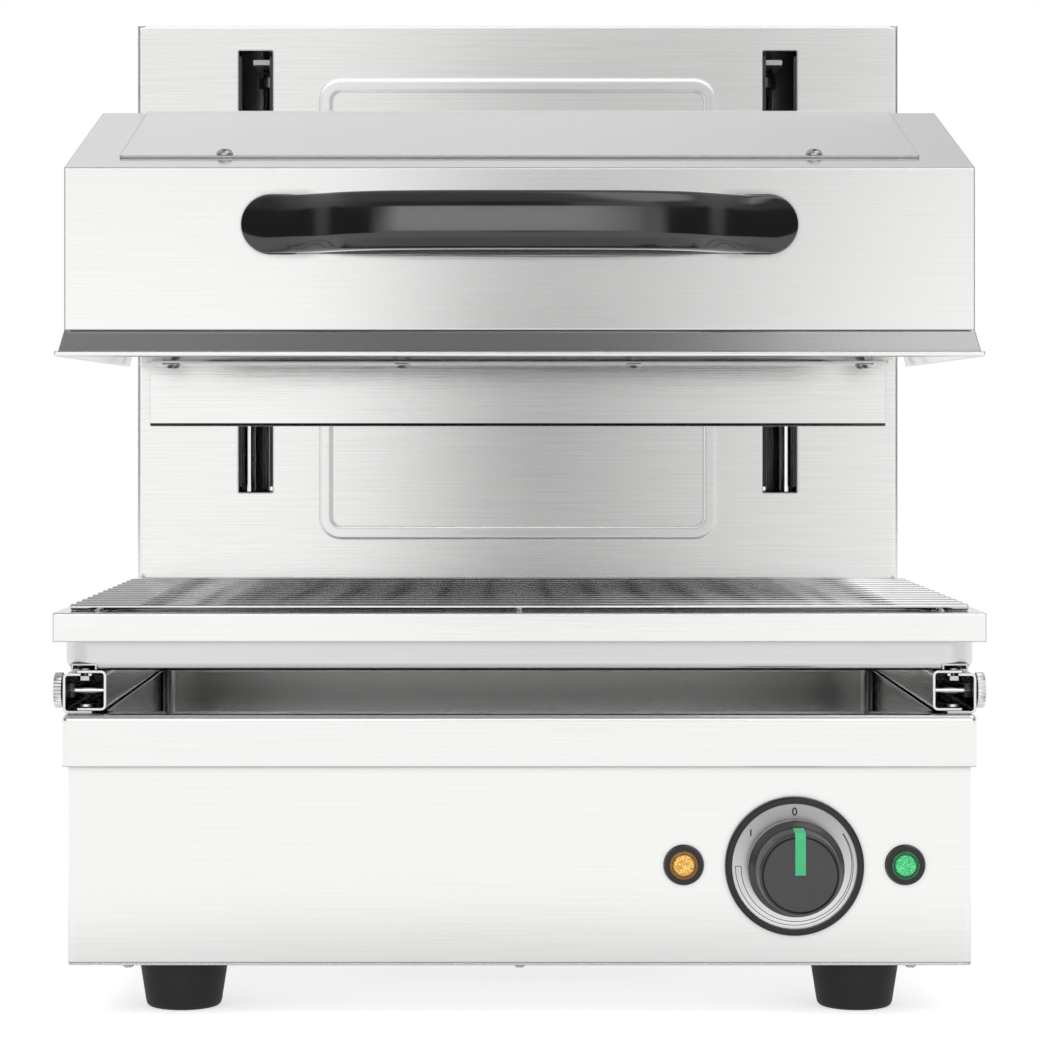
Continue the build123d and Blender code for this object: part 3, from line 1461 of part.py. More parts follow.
lug_low_places = (slider_low + shelf_height, slider_high - lug_height)
with BuildPart() as sliders:
    for side in (-1, 1):
        with BuildSketch(Plane.XY.offset(slider_low)):
            with Locations((side * (slider_inner + slider_outer) / 2, spacer_back)):
                Rectangle(slider_outer - slider_inner, slider_plate, align=(Align.CENTER, Align.MIN))
        extrude(amount=slider_height)
        with BuildSketch(Plane.XY.offset(slider_low)):
            with Locations((side * (slider_inner + slider_outer) / 2, shelf_front)):
                Rectangle(
                    slider_outer - slider_inner, rod_y + 9 - shelf_front, align=(Align.CENTER, Align.MIN)
                )
        extrude(amount=shelf_height)
        for lug_low in lug_low_places:
            with BuildSketch(Plane.XY.offset(lug_low)):
                with Locations((side * rod_x, rod_y)):
                    Circle(lug_radius)
                with Locations((side * rod_x, spacer_back + slider_plate / 2)):
                    Rectangle(
                        2 * lug_radius,
                        rod_y - spacer_back - slider_plate / 2,
                        align=(Align.CENTER, Align.MIN),
                    )
            extrude(amount=lug_height)
    with BuildSketch(Plane.XY.offset(slider_low + shelf_height)):
        with Locations(*rod_points):
            Circle(lug_bore)
    extrude(amount=slider_height, mode=Mode.SUBTRACT)
    with BuildSketch(Plane.XY.offset(slider_low)):
        with Locations(*rod_points):
            Circle(rod_radius + 1.0)
    extrude(amount=shelf_height, mode=Mode.SUBTRACT)
    with BuildSketch(Plane.XY.offset(slider_low)):
        with Locations(*strut_points):
            Circle(strut_rod_radius)
    extrude(amount=shelf_height - 2, mode=Mode.SUBTRACT)
    with BuildSketch(facing(spacer_back)):
        with Locations(*bolt_points):
            Circle(bolt_radius + touch_gap)
    extrude(amount=-slider_plate, mode=Mode.SUBTRACT)
keep(sliders, "sliders")

with BuildPart() as slider_bushings:
    for lug_low in lug_low_places:
        with BuildSketch(Plane.XY.offset(lug_low)):
            with Locations(*rod_points):
                Circle(lug_bore - 0.02)
                Circle(rod_radius + touch_gap, mode=Mode.SUBTRACT)
        extrude(amount=lug_height)
keep(slider_bushings, "slider_bushings")

strut_rod_low = slider_low - 188.0
piston_height = 8.0
with BuildPart() as strut_rods:
    with BuildSketch(Plane.XY.offset(strut_rod_low)):
        with Locations(*strut_points):
            Circle(strut_rod_radius)
    extrude(amount=slider_low + shelf_height - 2 - strut_rod_low)
    with BuildSketch(Plane.XY.offset(strut_rod_low)):
        with Locations(*strut_points):
            Circle(strut_bore - 0.1)
    extrude(amount=piston_height)
keep(strut_rods, "strut_rods")
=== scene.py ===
import math
import bmesh
import bpy
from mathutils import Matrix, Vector


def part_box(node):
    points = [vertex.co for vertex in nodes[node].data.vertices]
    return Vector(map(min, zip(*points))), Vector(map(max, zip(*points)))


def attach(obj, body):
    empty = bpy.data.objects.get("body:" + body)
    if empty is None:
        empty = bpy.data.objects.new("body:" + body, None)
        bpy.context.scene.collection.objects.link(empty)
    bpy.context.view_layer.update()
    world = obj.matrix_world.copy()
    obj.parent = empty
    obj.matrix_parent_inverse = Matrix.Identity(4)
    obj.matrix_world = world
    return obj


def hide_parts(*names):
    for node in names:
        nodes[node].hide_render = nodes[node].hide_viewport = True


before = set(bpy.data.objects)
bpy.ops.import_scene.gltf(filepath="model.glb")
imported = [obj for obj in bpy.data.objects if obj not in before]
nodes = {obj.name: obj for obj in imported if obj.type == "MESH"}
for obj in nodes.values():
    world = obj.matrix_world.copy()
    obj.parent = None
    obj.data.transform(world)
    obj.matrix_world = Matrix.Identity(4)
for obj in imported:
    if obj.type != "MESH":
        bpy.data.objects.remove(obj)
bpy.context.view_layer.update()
scene = bpy.context.scene


# ---------------------------------------------------------------- camera
# The photograph was taken straight on from about a metre and a half in front, a little
# above the rack. The lens is shifted instead of tilted, so upright edges stay upright.
base_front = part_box("base_shell")[0].y
focal_pixels, picture_side = 3245.0, 1040.0
aim_x, aim_y = 508.0, 421.0
camera_aside, camera_back, camera_height = -0.0056, 1.568, 0.290

camera_data = bpy.data.cameras.new("camera")
camera = bpy.data.objects.new("camera", camera_data)
scene.collection.objects.link(camera)
scene.camera = camera
camera_data.sensor_width = 36.0
camera_data.lens = focal_pixels / picture_side * camera_data.sensor_width
camera_data.shift_x = (picture_side / 2 - aim_x) / picture_side
camera_data.shift_y = (aim_y - picture_side / 2) / picture_side
camera.location = (camera_aside, base_front - camera_back, camera_height)
camera.rotation_euler = (math.radians(90), 0, 0)
camera_data.clip_start, camera_data.clip_end = 0.05, 50.0


# ---------------------------------------------------------------- studio
# A white sweep of paper in a bright room. The paper and the room show as white to the
# camera and in the metal, and the lamps alone light the object at a plain level.
def linear(hex_colour):
    """An sRGB hex colour as linear values for a shader."""
    channels = [int(hex_colour[i:i + 2], 16) / 255 for i in (1, 3, 5)]
    return tuple(c / 12.92 if c <= 0.04045 else ((c + 0.055) / 1.055) ** 2.4 for c in channels) + (1.0,)


def add(tree, kind, links=None, **settings):
    """Adds a shader or geometry node, sets its properties and sockets, and links its inputs."""
    made = tree.nodes.new(kind)
    for key, value in settings.items():
        if hasattr(made, key):
            setattr(made, key, value)
        else:
            made.inputs[key.replace("_", " ")].default_value = value
    for key, source in (links or {}).items():
        if hasattr(source, "outputs"):
            source = source.outputs[0]
        if hasattr(source, "is_output"):
            tree.links.new(source, made.inputs[key])
        else:
            made.inputs[key].default_value = source
    return made


scene.view_settings.view_transform = "Standard"
pure_white = linear("#ffffff")
room_light = 0.55

world = bpy.data.worlds.new("white_room")
scene.world = world
world.use_nodes = True
room = world.node_tree
room.nodes.clear()
way = add(room, "ShaderNodeTexCoord").outputs["Generated"]
split = add(room, "ShaderNodeSeparateXYZ", {0: way})
forward = add(room, "ShaderNodeMath", {0: split.outputs[1], 1: -1.0}, operation="MULTIPLY")
bearing = add(room, "ShaderNodeMath", {0: split.outputs[0], 1: forward}, operation="ARCTAN2")
around = add(
    room, "ShaderNodeMath", {0: bearing, 1: 1 / (2 * math.pi), 2: 0.5}, operation="MULTIPLY_ADD",
)


def cards(*stops):
    """A ring of grey cards round the room, each at a bearing in degrees, with the front at 0."""
    made = add(room, "ShaderNodeValToRGB", {0: around})
    points = made.color_ramp.elements
    points.remove(points[1])
    for i, (degrees, grey) in enumerate(stops):
        point = points[0] if i == 0 else points.new(degrees / 360 + 0.5)
        point.position = degrees / 360 + 0.5
        point.color = (grey, grey, grey, 1)
    return made


# The metal mirrors these rings, which stand one over the other. Black cards at the sides draw
# dark edges on every bend, and a narrow gap straight in front draws the grey band down the
# middle of the panels. The gap fades with height, and a softbox over it lights the handle.
left_side = [(-180, 0.80), (-98, 0.80), (-90, 0.10), (-44, 0.10)]
right_side = [(44, 0.10), (90, 0.10), (98, 0.80), (180, 0.80)]
low_cards = cards(
    *left_side, (-34, 1.05), (-1.9, 1.05), (-0.8, 0.32), (0.8, 0.38), (3.2, 0.68), (7.5, 1.00), (34, 1.05),
    *right_side,
)
lifted_cards = cards(
    *left_side, (-34, 0.96), (-2.4, 0.88), (-0.8, 0.74), (2.0, 0.58), (4.2, 0.60), (8.0, 0.84), (34, 1.00),
    *right_side,
)
high_cards = cards(
    (-180, 0.68), (-168, 0.76), (-90, 0.55), (-40, 0.24), (-8, 0.20), (-1, 0.13), (4, 0.15),
    (7, 0.60), (30, 0.80), (45, 0.30), (90, 0.50), (168, 0.58), (180, 0.68),
)
top_cards = cards((-180, 0.5), (14, 0.4), (28, 1.5), (80, 1.5), (100, 0.5), (180, 0.5))
box_cards = cards((-180, 0.0), (-34, 0.0), (-20, 1.0), (6, 1.0), (24, 0.0), (180, 0.0))
box_grey = 2.4

# Each height is the sine of an angle over the horizon, where one ring gives way to the next.
heights = {}
for name, start, end in (
    ("open_front", -0.13, -0.04), ("lift", 0.02, 0.12), ("box_foot", 0.15, 0.21),
    ("rise", 0.24, 0.38), ("box_top", 0.40, 0.34), ("near_top", 0.66, 0.80),
):
    heights[name] = add(
        room, "ShaderNodeMapRange", {"Value": split.outputs[2]}, From_Min=start, From_Max=end,
    )
box_tall = add(
    room, "ShaderNodeMath", {0: heights["box_top"], 1: heights["box_foot"]}, operation="MULTIPLY",
)
box_share = add(room, "ShaderNodeMath", {0: box_tall, 1: box_cards}, operation="MULTIPLY")
front_cards = add(
    room, "ShaderNodeMix", {0: heights["lift"], 6: low_cards, 7: lifted_cards}, data_type="RGBA",
)
low_room = add(
    room, "ShaderNodeMix", {0: heights["open_front"], 6: pure_white, 7: front_cards.outputs[2]},
    data_type="RGBA",
)
upper_room = add(
    room, "ShaderNodeMix", {0: heights["rise"], 6: low_room.outputs[2], 7: high_cards}, data_type="RGBA",
)
boxed_room = add(
    room, "ShaderNodeMix", {0: box_share, 6: upper_room.outputs[2], 7: (box_grey, box_grey, box_grey, 1)},
    data_type="RGBA",
)
whole_room = add(
    room, "ShaderNodeMix", {0: heights["near_top"], 6: boxed_room.outputs[2], 7: top_cards}, data_type="RGBA",
)
ray = add(room, "ShaderNodeLightPath")
in_metal_or_glass = add(
    room, "ShaderNodeMath", {0: ray.outputs["Is Glossy Ray"], 1: ray.outputs["Is Transmission Ray"]},
    operation="MAXIMUM",
)
plain = add(room, "ShaderNodeBackground", Color=pure_white, Strength=room_light)
mirrored = add(room, "ShaderNodeBackground", {"Color": whole_room.outputs[2]}, Strength=1.0)
white = add(room, "ShaderNodeBackground", Color=pure_white, Strength=1.0)
inner = add(room, "ShaderNodeMixShader", {0: in_metal_or_glass, 1: plain, 2: mirrored})
outer = add(room, "ShaderNodeMixShader", {0: ray.outputs["Is Camera Ray"], 1: inner, 2: white})
add(room, "ShaderNodeOutputWorld", {0: outer})

lamp_target = Vector((0, 0, 0.25))
for name, place, size, power in (
    ("key_lamp", (-1.1, -1.5, 1.5), 1.2, 16.0),
    ("fill_lamp", (1.3, -1.3, 1.1), 1.4, 9.0),
    ("top_lamp", (0.1, -0.1, 1.9), 1.5, 12.0),
):
    lamp_data = bpy.data.lights.new(name, "AREA")
    lamp_data.size, lamp_data.energy = size, power
    lamp = bpy.data.objects.new(name, lamp_data)
    scene.collection.objects.link(lamp)
    lamp.location = place
    lamp.visible_glossy = False
    lamp.rotation_euler = (lamp_target - Vector(place)).to_track_quat("-Z", "Y").to_euler()

# The paper is lit and takes the shadow near the object, and fades to plain white further off.
# In the metal it is a little darker close by: painted shade, as under a machine that stands on it.
paper_half = 6.0
paper_glow, shade_glow = 0.60, 0.62
lit_within, white_beyond = 0.45, 1.3
shaded_within, open_beyond = 0.22, 0.6

paper = bpy.data.materials.new("studio_paper")
paper.use_nodes = True
tree = paper.node_tree
tree.nodes.clear()
ray = add(tree, "ShaderNodeLightPath")
lit = add(tree, "ShaderNodeBsdfDiffuse", Color=linear("#dadada"))
glow = add(tree, "ShaderNodeEmission", Color=pure_white, Strength=paper_glow)
white = add(tree, "ShaderNodeEmission", Color=pure_white, Strength=1.0)
shade = add(tree, "ShaderNodeEmission", Color=pure_white, Strength=shade_glow)
near = add(tree, "ShaderNodeAddShader", {0: lit, 1: glow})
place = add(tree, "ShaderNodeTexCoord").outputs["Object"]
away = add(tree, "ShaderNodeVectorMath", {0: place}, operation="LENGTH").outputs["Value"]
fade = add(tree, "ShaderNodeMapRange", {"Value": away}, From_Min=lit_within, From_Max=white_beyond)
beside = add(tree, "ShaderNodeMapRange", {"Value": away}, From_Min=shaded_within, From_Max=open_beyond)
sweep = add(tree, "ShaderNodeMixShader", {0: fade, 1: near, 2: white})
seen_low = add(tree, "ShaderNodeMixShader", {0: beside, 1: shade, 2: white})
mirror = add(tree, "ShaderNodeMixShader", {0: ray.outputs["Is Glossy Ray"], 1: sweep, 2: seen_low})
bare = add(tree, "ShaderNodeMixShader", {0: ray.outputs["Is Diffuse Ray"], 1: mirror, 2: lit})
add(tree, "ShaderNodeOutputMaterial", {0: bare})
floor_mesh = bpy.data.meshes.new("floor")
floor_corners = [(x * paper_half, y * paper_half, 0) for x, y in ((-1, -1), (1, -1), (1, 1), (-1, 1))]
floor_mesh.from_pydata(floor_corners, [], [(0, 1, 2, 3)])
floor = bpy.data.objects.new("floor", floor_mesh)
scene.collection.objects.link(floor)
floor.data.materials.append(paper)


# ---------------------------------------------------------------- rubber feet
# Four moulded nitrile rubber cones. A rounded lip runs round the foot of each, and a bolt
# from inside the base holds it through its deep bore.
def new_material(name, **sockets):
    """A material with its shader's own sockets set, and its tree and shader."""
    made = bpy.data.materials.new(name)
    made.use_nodes = True
    shader = made.node_tree.nodes["Principled BSDF"]
    for key, value in sockets.items():
        shader.inputs[key.replace("_", " ")].default_value = value
    return made, made.node_tree, shader


def moulded(name, light, dark, rough_low, rough_high, grain_mm, depth_mm, **sockets):
    """A moulded plastic, rubber or ceramic: mottled colour, uneven gloss and a fine skin."""
    patches_per_m = 90.0    # 11 mm wide, as material flows into the mould
    made, tree, shader = new_material(name, **sockets)
    place = add(tree, "ShaderNodeTexCoord").outputs["Object"]
    mottle = add(tree, "ShaderNodeTexNoise", {"Vector": place}, Scale=patches_per_m, Detail=3.0)
    colour = add(tree, "ShaderNodeMix", {0: mottle, 6: linear(dark), 7: linear(light)}, data_type="RGBA")
    rough = add(tree, "ShaderNodeMapRange", {"Value": mottle}, To_Min=rough_low, To_Max=rough_high)
    skin = add(tree, "ShaderNodeTexNoise", {"Vector": place}, Scale=1000.0 / grain_mm, Detail=2.0)
    relief = add(tree, "ShaderNodeBump", {"Height": skin}, Strength=0.6, Distance=depth_mm / 1000.0)
    tree.links.new(colour.outputs[2], shader.inputs["Base Color"])
    tree.links.new(rough.outputs[0], shader.inputs["Roughness"])
    tree.links.new(relief.outputs[0], shader.inputs["Normal"])
    return made


def solid(name, points, faces, material, sharp=38.0):
    """A mesh object from points in millimetres, smooth except at corners above that angle."""
    mesh = bpy.data.meshes.new(name)
    mesh.from_pydata([tuple(c / 1000.0 for c in p) for p in points], [], faces)
    mesh.validate()
    shape = bmesh.new()
    shape.from_mesh(mesh)
    bmesh.ops.recalc_face_normals(shape, faces=shape.faces)
    shape.to_mesh(mesh)
    shape.free()
    mesh.shade_smooth()
    mesh.set_sharp_from_angle(angle=math.radians(sharp))
    made = bpy.data.objects.new(name, mesh)
    scene.collection.objects.link(made)
    mesh.materials.append(material)
    return made


def sleeve(rings, steps):
    """Faces that join rings of points, one after the other, and close both ends."""
    faces = []
    for i in range(rings - 1):
        for k in range(steps):
            m = (k + 1) % steps
            faces.append((i * steps + k, (i + 1) * steps + k, (i + 1) * steps + m, i * steps + m))
    last = (rings - 1) * steps
    return faces + [tuple(range(steps)), tuple(last + k for k in reversed(range(steps)))]


def turned(profile, steps, wave=None):
    """Points and faces of a form turned about Z from (radius, height) pairs."""
    points = []
    for i, (radius, z) in enumerate(profile):
        for k in range(steps):
            angle = 2 * math.pi * k / steps
            r = radius + (wave(i, k) if wave else 0.0)
            points.append((r * math.cos(angle), r * math.sin(angle), z))
    return points, sleeve(len(profile), steps)


def rows_tree():
    """A geometry tree that repeats a piece in rows and columns, turned to face its way."""
    made = bpy.data.node_groups.new("rows_of_pieces", "GeometryNodeTree")
    face = made.interface
    face.new_socket("Piece", in_out="INPUT", socket_type="NodeSocketGeometry")
    for name, kind in (
        ("Columns", "NodeSocketInt"), ("Column Step", "NodeSocketVector"), ("Rows", "NodeSocketInt"),
        ("Row Step", "NodeSocketVector"), ("First", "NodeSocketVector"), ("Aim", "NodeSocketVector"),
        ("Finish", "NodeSocketMaterial"),
    ):
        face.new_socket(name, in_out="INPUT", socket_type=kind)
    face.new_socket("Pieces", in_out="OUTPUT", socket_type="NodeSocketGeometry")
    given = add(made, "NodeGroupInput").outputs
    row = add(
        made, "GeometryNodeMeshLine",
        {"Count": given["Columns"], "Offset": given["Column Step"], "Start Location": given["First"]},
    )
    column = add(made, "GeometryNodeMeshLine", {"Count": given["Rows"], "Offset": given["Row Step"]})
    rows = add(made, "GeometryNodeInstanceOnPoints", {"Points": row, "Instance": column})
    places = add(made, "GeometryNodeRealizeInstances", {"Geometry": rows})
    turn = add(made, "FunctionNodeEulerToRotation", {0: given["Aim"]})
    pieces = add(
        made, "GeometryNodeInstanceOnPoints",
        {"Points": places, "Instance": given["Piece"], "Rotation": turn},
    )
    real = add(made, "GeometryNodeRealizeInstances", {"Geometry": pieces})
    finished = add(made, "GeometryNodeSetMaterial", {"Geometry": real, "Material": given["Finish"]})
    add(made, "NodeGroupOutput", {"Pieces": finished})
    return made


in_rows = rows_tree()


def seat(piece, body, stands_for=()):
    """Puts a finished piece on its body, and hides the nodes it stands for."""
    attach(piece, body)
    if stands_for:
        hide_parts(*stands_for)
    return piece


def grow(piece, tree, body, slot_name, stands_for, **inputs):
    """Runs a geometry tree on a piece, keeps its result as a plain mesh, and seats it."""
    run = piece.modifiers.new("form", "NODES")
    run.node_group = tree
    for item in tree.interface.items_tree:
        key = item.name.replace(" ", "_")
        if item.item_type == "SOCKET" and item.in_out == "INPUT" and key in inputs:
            run[item.identifier] = inputs[key]
    bpy.context.view_layer.update()
    result = bpy.data.meshes.new_from_object(piece.evaluated_get(bpy.context.evaluated_depsgraph_get()))
    piece.modifiers.remove(run)
    piece.data = result
    return seat(piece, body, stands_for)


# Nitrile rubber, moulded: nearly black and dull, with a slightly pitted skin.
nitrile = moulded("moulded_nitrile_rubber", "#1f1f20", "#131314", 0.5, 0.68, 0.9, 0.05, IOR=1.5)
feet_apart_x, feet_apart_y, feet_behind_front = 0.333, 0.310, 0.045
foot_profile = [
    (22.3, 26.9), (22.5, 26.4), (18.9, 3.4), (18.65, 2.2), (18.1, 1.0), (17.2, 0.3), (16.2, 0.02),
    (8.4, 0.02), (8.0, 0.5), (8.0, 13.9), (2.8, 14.0),
]
foot = solid("moulded_feet", *turned(foot_profile, 64), nitrile)
grow(
    foot, in_rows, "base", "foot_rubber", ["rubber_feet"],
    Columns=2, Column_Step=(feet_apart_x, 0, 0), Rows=2, Row_Step=(0, feet_apart_y, 0),
    First=(-feet_apart_x / 2, base_front + feet_behind_front, 0), Finish=nitrile,
)


# ---------------------------------------------------------------- stainless panels
# Folded 1.2 mm stainless sheet, brushed along the long way of each panel, so reflections
# smear across the grain and the fronts turn almost white.
def dress(material, *names):
    """Gives CAD nodes one material."""
    for name in names:
        nodes[name].data.materials.clear()
        nodes[name].data.materials.append(material)


def lined(tree, tone, normal, sharpest, softest, depth, reach_mm):
    """Darkens a metal's colour: painted shade in its seams, and painted dark lines along its bends."""
    closed_in, open_air, bend_shade = 0.25, 0.8, 0.22
    # Painted shade: the colour darkens where ambient occlusion finds a seam or corner close by.
    closeness = add(tree, "ShaderNodeAmbientOcclusion", samples=6, Distance=reach_mm / 1000.0)
    painted_seam_shade = add(
        tree, "ShaderNodeMapRange", {"Value": closeness.outputs["AO"]},
        From_Min=closed_in, From_Max=open_air, To_Min=depth,
    )
    # Painted dark lines: the colour darkens where the eased normal turns from the true face, along each bend.
    face = add(tree, "ShaderNodeNewGeometry").outputs["Normal"]
    flatness = add(tree, "ShaderNodeVectorMath", {0: normal, 1: face}, operation="DOT_PRODUCT")
    bend = add(
        tree, "ShaderNodeMapRange", {"Value": flatness.outputs["Value"]},
        From_Min=sharpest, From_Max=softest, To_Min=bend_shade,
    )
    lines = add(tree, "ShaderNodeMath", {0: painted_seam_shade, 1: bend}, operation="MULTIPLY")
    return add(tree, "ShaderNodeVectorMath", {0: tone, "Scale": lines}, operation="SCALE")


def pressed_face(tree, place, eased, calm):
    """The normal of the column's front, whose bead is so shallow that it hardly shows.

    Its foot leans back two degrees, so it mirrors the room and not the rack, and the bends at
    its sides keep their own normal, so each mirrors the dark side of the room as a line.
    """
    lean, lean_start, lean_end = 0.035, 0.20, 0.30
    side_on, face_on = -0.3, -0.6
    column_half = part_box("column_shell")[1].x
    bend_start, bend_width = column_half - 0.005, 0.002
    spot = add(tree, "ShaderNodeSeparateXYZ", {0: place})
    leaning = add(
        tree, "ShaderNodeMapRange", {"Value": spot.outputs[2]},
        From_Min=lean_start, From_Max=lean_end, To_Min=lean, To_Max=0.0,
    )
    flat = add(tree, "ShaderNodeCombineXYZ", {2: leaning}, Y=-1.0)
    outward = add(tree, "ShaderNodeMath", {0: spot.outputs[0]}, operation="ABSOLUTE")
    between_bends = add(
        tree, "ShaderNodeMapRange", {"Value": outward},
        From_Min=bend_start, From_Max=bend_start + bend_width, To_Min=calm, To_Max=0.0,
    )
    way = add(tree, "ShaderNodeSeparateXYZ", {0: eased})
    share = add(
        tree, "ShaderNodeMapRange", {"Value": way.outputs[1], "To Max": between_bends},
        From_Min=side_on, From_Max=face_on,
    )
    calmed = add(tree, "ShaderNodeMix", {0: share, 4: eased, 5: flat}, data_type="VECTOR")
    return add(tree, "ShaderNodeVectorMath", {0: calmed.outputs[1]}, operation="NORMALIZE")


def brushed(
    name, light, dark, rough_low, rough_high, depth_mm, soft_edge_mm,
    softest=0.985, seam=0.12, reach_mm=6.0, calm=0.0,
):
    """Brushed sheet: fine scratches along X, or along Y on sideways faces, and eased edges.

    Grit 180 leaves about ten scratches to the millimetre, too fine to show, so these are drawn
    four times as coarse.
    """
    across_grain, along_grain = 2.4 * 1000.0, 1000.0 / 62.5
    clouds_per_m, turns_sideways, sharpest = 9.0, 0.7, 0.72
    made, tree, shader = new_material(name, Metallic=1.0)
    place = add(tree, "ShaderNodeTexCoord").outputs["Object"]
    facing = add(tree, "ShaderNodeSeparateXYZ", {0: add(tree, "ShaderNodeNewGeometry").outputs["Normal"]})
    sideways = add(tree, "ShaderNodeMath", {0: facing.outputs[0]}, operation="ABSOLUTE")
    is_side = add(tree, "ShaderNodeMath", {0: sideways, 1: turns_sideways}, operation="GREATER_THAN")
    along_x, along_y = (
        add(tree, "ShaderNodeVectorMath", {0: place, 1: stretch}, operation="MULTIPLY")
        for stretch in ((along_grain, across_grain, across_grain), (across_grain, along_grain, across_grain))
    )
    grain_way = add(tree, "ShaderNodeMix", {0: is_side, 4: along_x, 5: along_y}, data_type="VECTOR")
    grain = add(
        tree, "ShaderNodeTexNoise", {"Vector": grain_way.outputs[1]}, Scale=1.0, Detail=3.0, Roughness=0.6,
    )
    cloud = add(tree, "ShaderNodeTexNoise", {"Vector": place}, Scale=clouds_per_m, Detail=2.0)
    tone = add(tree, "ShaderNodeMix", {0: grain, 6: linear(dark), 7: linear(light)}, data_type="RGBA")
    rough = add(tree, "ShaderNodeMapRange", {"Value": cloud}, To_Min=rough_low, To_Max=rough_high)
    eased = add(tree, "ShaderNodeBevel", samples=6, Radius=soft_edge_mm / 1000.0)
    normal = pressed_face(tree, place, eased, calm) if calm else eased
    relief = add(
        tree, "ShaderNodeBump", {"Height": grain, "Normal": normal},
        Strength=0.5, Distance=depth_mm / 1000.0,
    )
    # Painted shade in the seams and painted dark lines along the bends.
    colour = lined(tree, tone.outputs[2], eased, sharpest, softest, seam, reach_mm)
    tree.links.new(colour.outputs[0], shader.inputs["Base Color"])
    tree.links.new(rough.outputs[0], shader.inputs["Roughness"])
    tree.links.new(relief.outputs[0], shader.inputs["Normal"])
    return made


# Stainless sheet, finely brushed: almost white in front, with dark lines along its bends, partly the room's
# black cards mirrored and partly painted shade.
panel_steel = brushed("brushed_stainless_panel", "#fbfbfa", "#f0f0ef", 0.08, 0.12, 0.025, 1.3)
dress(
    panel_steel, "base_shell", "base_floor", "base_back", "rod_deck",
    "head_shell", "head_cover", "head_back", "head_skirt", "grid_frame",
)
# The same sheet, deep drawn: a little duller, with painted shade that darkens the corners of the recess.
deck_steel = brushed(
    "deep_drawn_stainless_deck", "#fbfbfa", "#eeeeed", 0.10, 0.14, 0.025, 1.3, seam=0.10, reach_mm=15.0,
)
dress(deck_steel, "deck_pan")
# Bright annealed sheet: a grey, slightly clouded mirror without much grain.
tray_steel = brushed("bright_annealed_tray_steel", "#e2e2e2", "#d6d6d6", 0.12, 0.18, 0.02, 1.0)
dress(tray_steel, "drip_pan")
# Coarsely brushed sheet on the parts that face away: its grain shows as fine streaks.
coarse_steel = brushed(
    "coarse_brushed_stainless", "#fbfbfa", "#e2e2e1", 0.10, 0.14, 0.03, 1.3, softest=0.9,
)
dress(coarse_steel, "column_back", "carriage_angle")
# The carriage plate is cut and not folded at its sides, so its painted bend lines are turned off and its
# painted seam shade is kept faint.
plate_steel = brushed(
    "brushed_stainless_carriage", "#fbfbfa", "#e6e6e5", 0.08, 0.12, 0.02, 0.2, softest=0.721, seam=0.7,
)
dress(plate_steel, "carriage_plate")
# The column's sheet has a visible grain, and its bead and slots are pressed and punched.
column_steel = brushed(
    "brushed_stainless_column", "#fbfbfa", "#e0e0df", 0.08, 0.12, 0.013, 2.2,
    softest=0.95, seam=0.9, calm=0.9,
)
dress(column_steel, "column_shell")
# Rolled channel: a duller white outside, with painted shade that turns it nearly black in the depth of its
# groove.
rail_steel = brushed(
    "rolled_stainless_rail", "#f4f4f3", "#e6e6e5", 0.16, 0.24, 0.02, 0.4,
    softest=0.9, seam=0.02, reach_mm=22.0,
)
dress(rail_steel, "rail_outer_left", "rail_outer_right", "rail_inner_left", "rail_inner_right")


# ---------------------------------------------------------------- screws
# Zinc plated pan head screws with a cross recess, pressed in one blow and tumbled, so their
# edges are soft. They hold the floor plate, the back panels and the cover of the head.
def plated(name, light, dark, rough_low, rough_high, depth_mm, seam=0.15):
    """A plated or ground metal: a faint cloud in tone and gloss, and a very fine skin."""
    cloud_mm, grains_per_mm, edge_mm, seam_mm = 6.25, 2.6, 0.3, 2.5
    sharpest, softest = 0.7, 0.97
    made, tree, shader = new_material(name, Metallic=1.0)
    place = add(tree, "ShaderNodeTexCoord").outputs["Object"]
    cloud = add(tree, "ShaderNodeTexNoise", {"Vector": place}, Scale=1000.0 / cloud_mm, Detail=3.0)
    tone = add(tree, "ShaderNodeMix", {0: cloud, 6: linear(dark), 7: linear(light)}, data_type="RGBA")
    rough = add(tree, "ShaderNodeMapRange", {"Value": cloud}, To_Min=rough_low, To_Max=rough_high)
    skin = add(tree, "ShaderNodeTexNoise", {"Vector": place}, Scale=1000.0 * grains_per_mm, Detail=1.0)
    eased = add(tree, "ShaderNodeBevel", samples=4, Radius=edge_mm / 1000.0)
    relief = add(
        tree, "ShaderNodeBump", {"Height": skin, "Normal": eased},
        Strength=0.4, Distance=depth_mm / 1000.0,
    )
    # Painted shade in the seams and painted dark lines along the bends, as on the sheet.
    colour = lined(tree, tone.outputs[2], eased, sharpest, softest, seam, seam_mm)
    tree.links.new(colour.outputs[0], shader.inputs["Base Color"])
    tree.links.new(rough.outputs[0], shader.inputs["Roughness"])
    tree.links.new(relief.outputs[0], shader.inputs["Normal"])
    return made


# Bright zinc plating: pale bluish grey with soft highlights.
zinc = plated("bright_zinc_plating", "#dcdcdd", "#b9babd", 0.16, 0.3, 0.01)
shank_radius, shank_length = 1.8, 3.0


def pan_head(name, radius, height):
    """A screw along Z, seated at 0: a domed head with a cross recess, and the top of its shank."""
    steps, points = 64, []
    arm_half, arm_reach, recess_depth = radius * 0.13, 0.62, height * 0.5
    shares = [0.12, 0.24, 0.36, 0.48, 0.6, 0.72, 0.82, 0.9, 0.96, 0.99, 1.0]
    for share in shares:
        for k in range(steps):
            angle = 2 * math.pi * k / steps
            x, y = radius * share * math.cos(angle), radius * share * math.sin(angle)
            z = height * (0.08 + 0.92 * math.sqrt(max(0.0, 1 - share ** 2.6)))
            in_recess = min(abs(x), abs(y)) < arm_half and share < arm_reach
            points.append((x, y, z - (recess_depth if in_recess else 0.0)))
    below = turned([(radius, 0.0), (shank_radius, 0.0), (shank_radius, -shank_length)], steps)[0]
    return solid(name, points + below, sleeve(len(shares) + 3, steps), zinc)


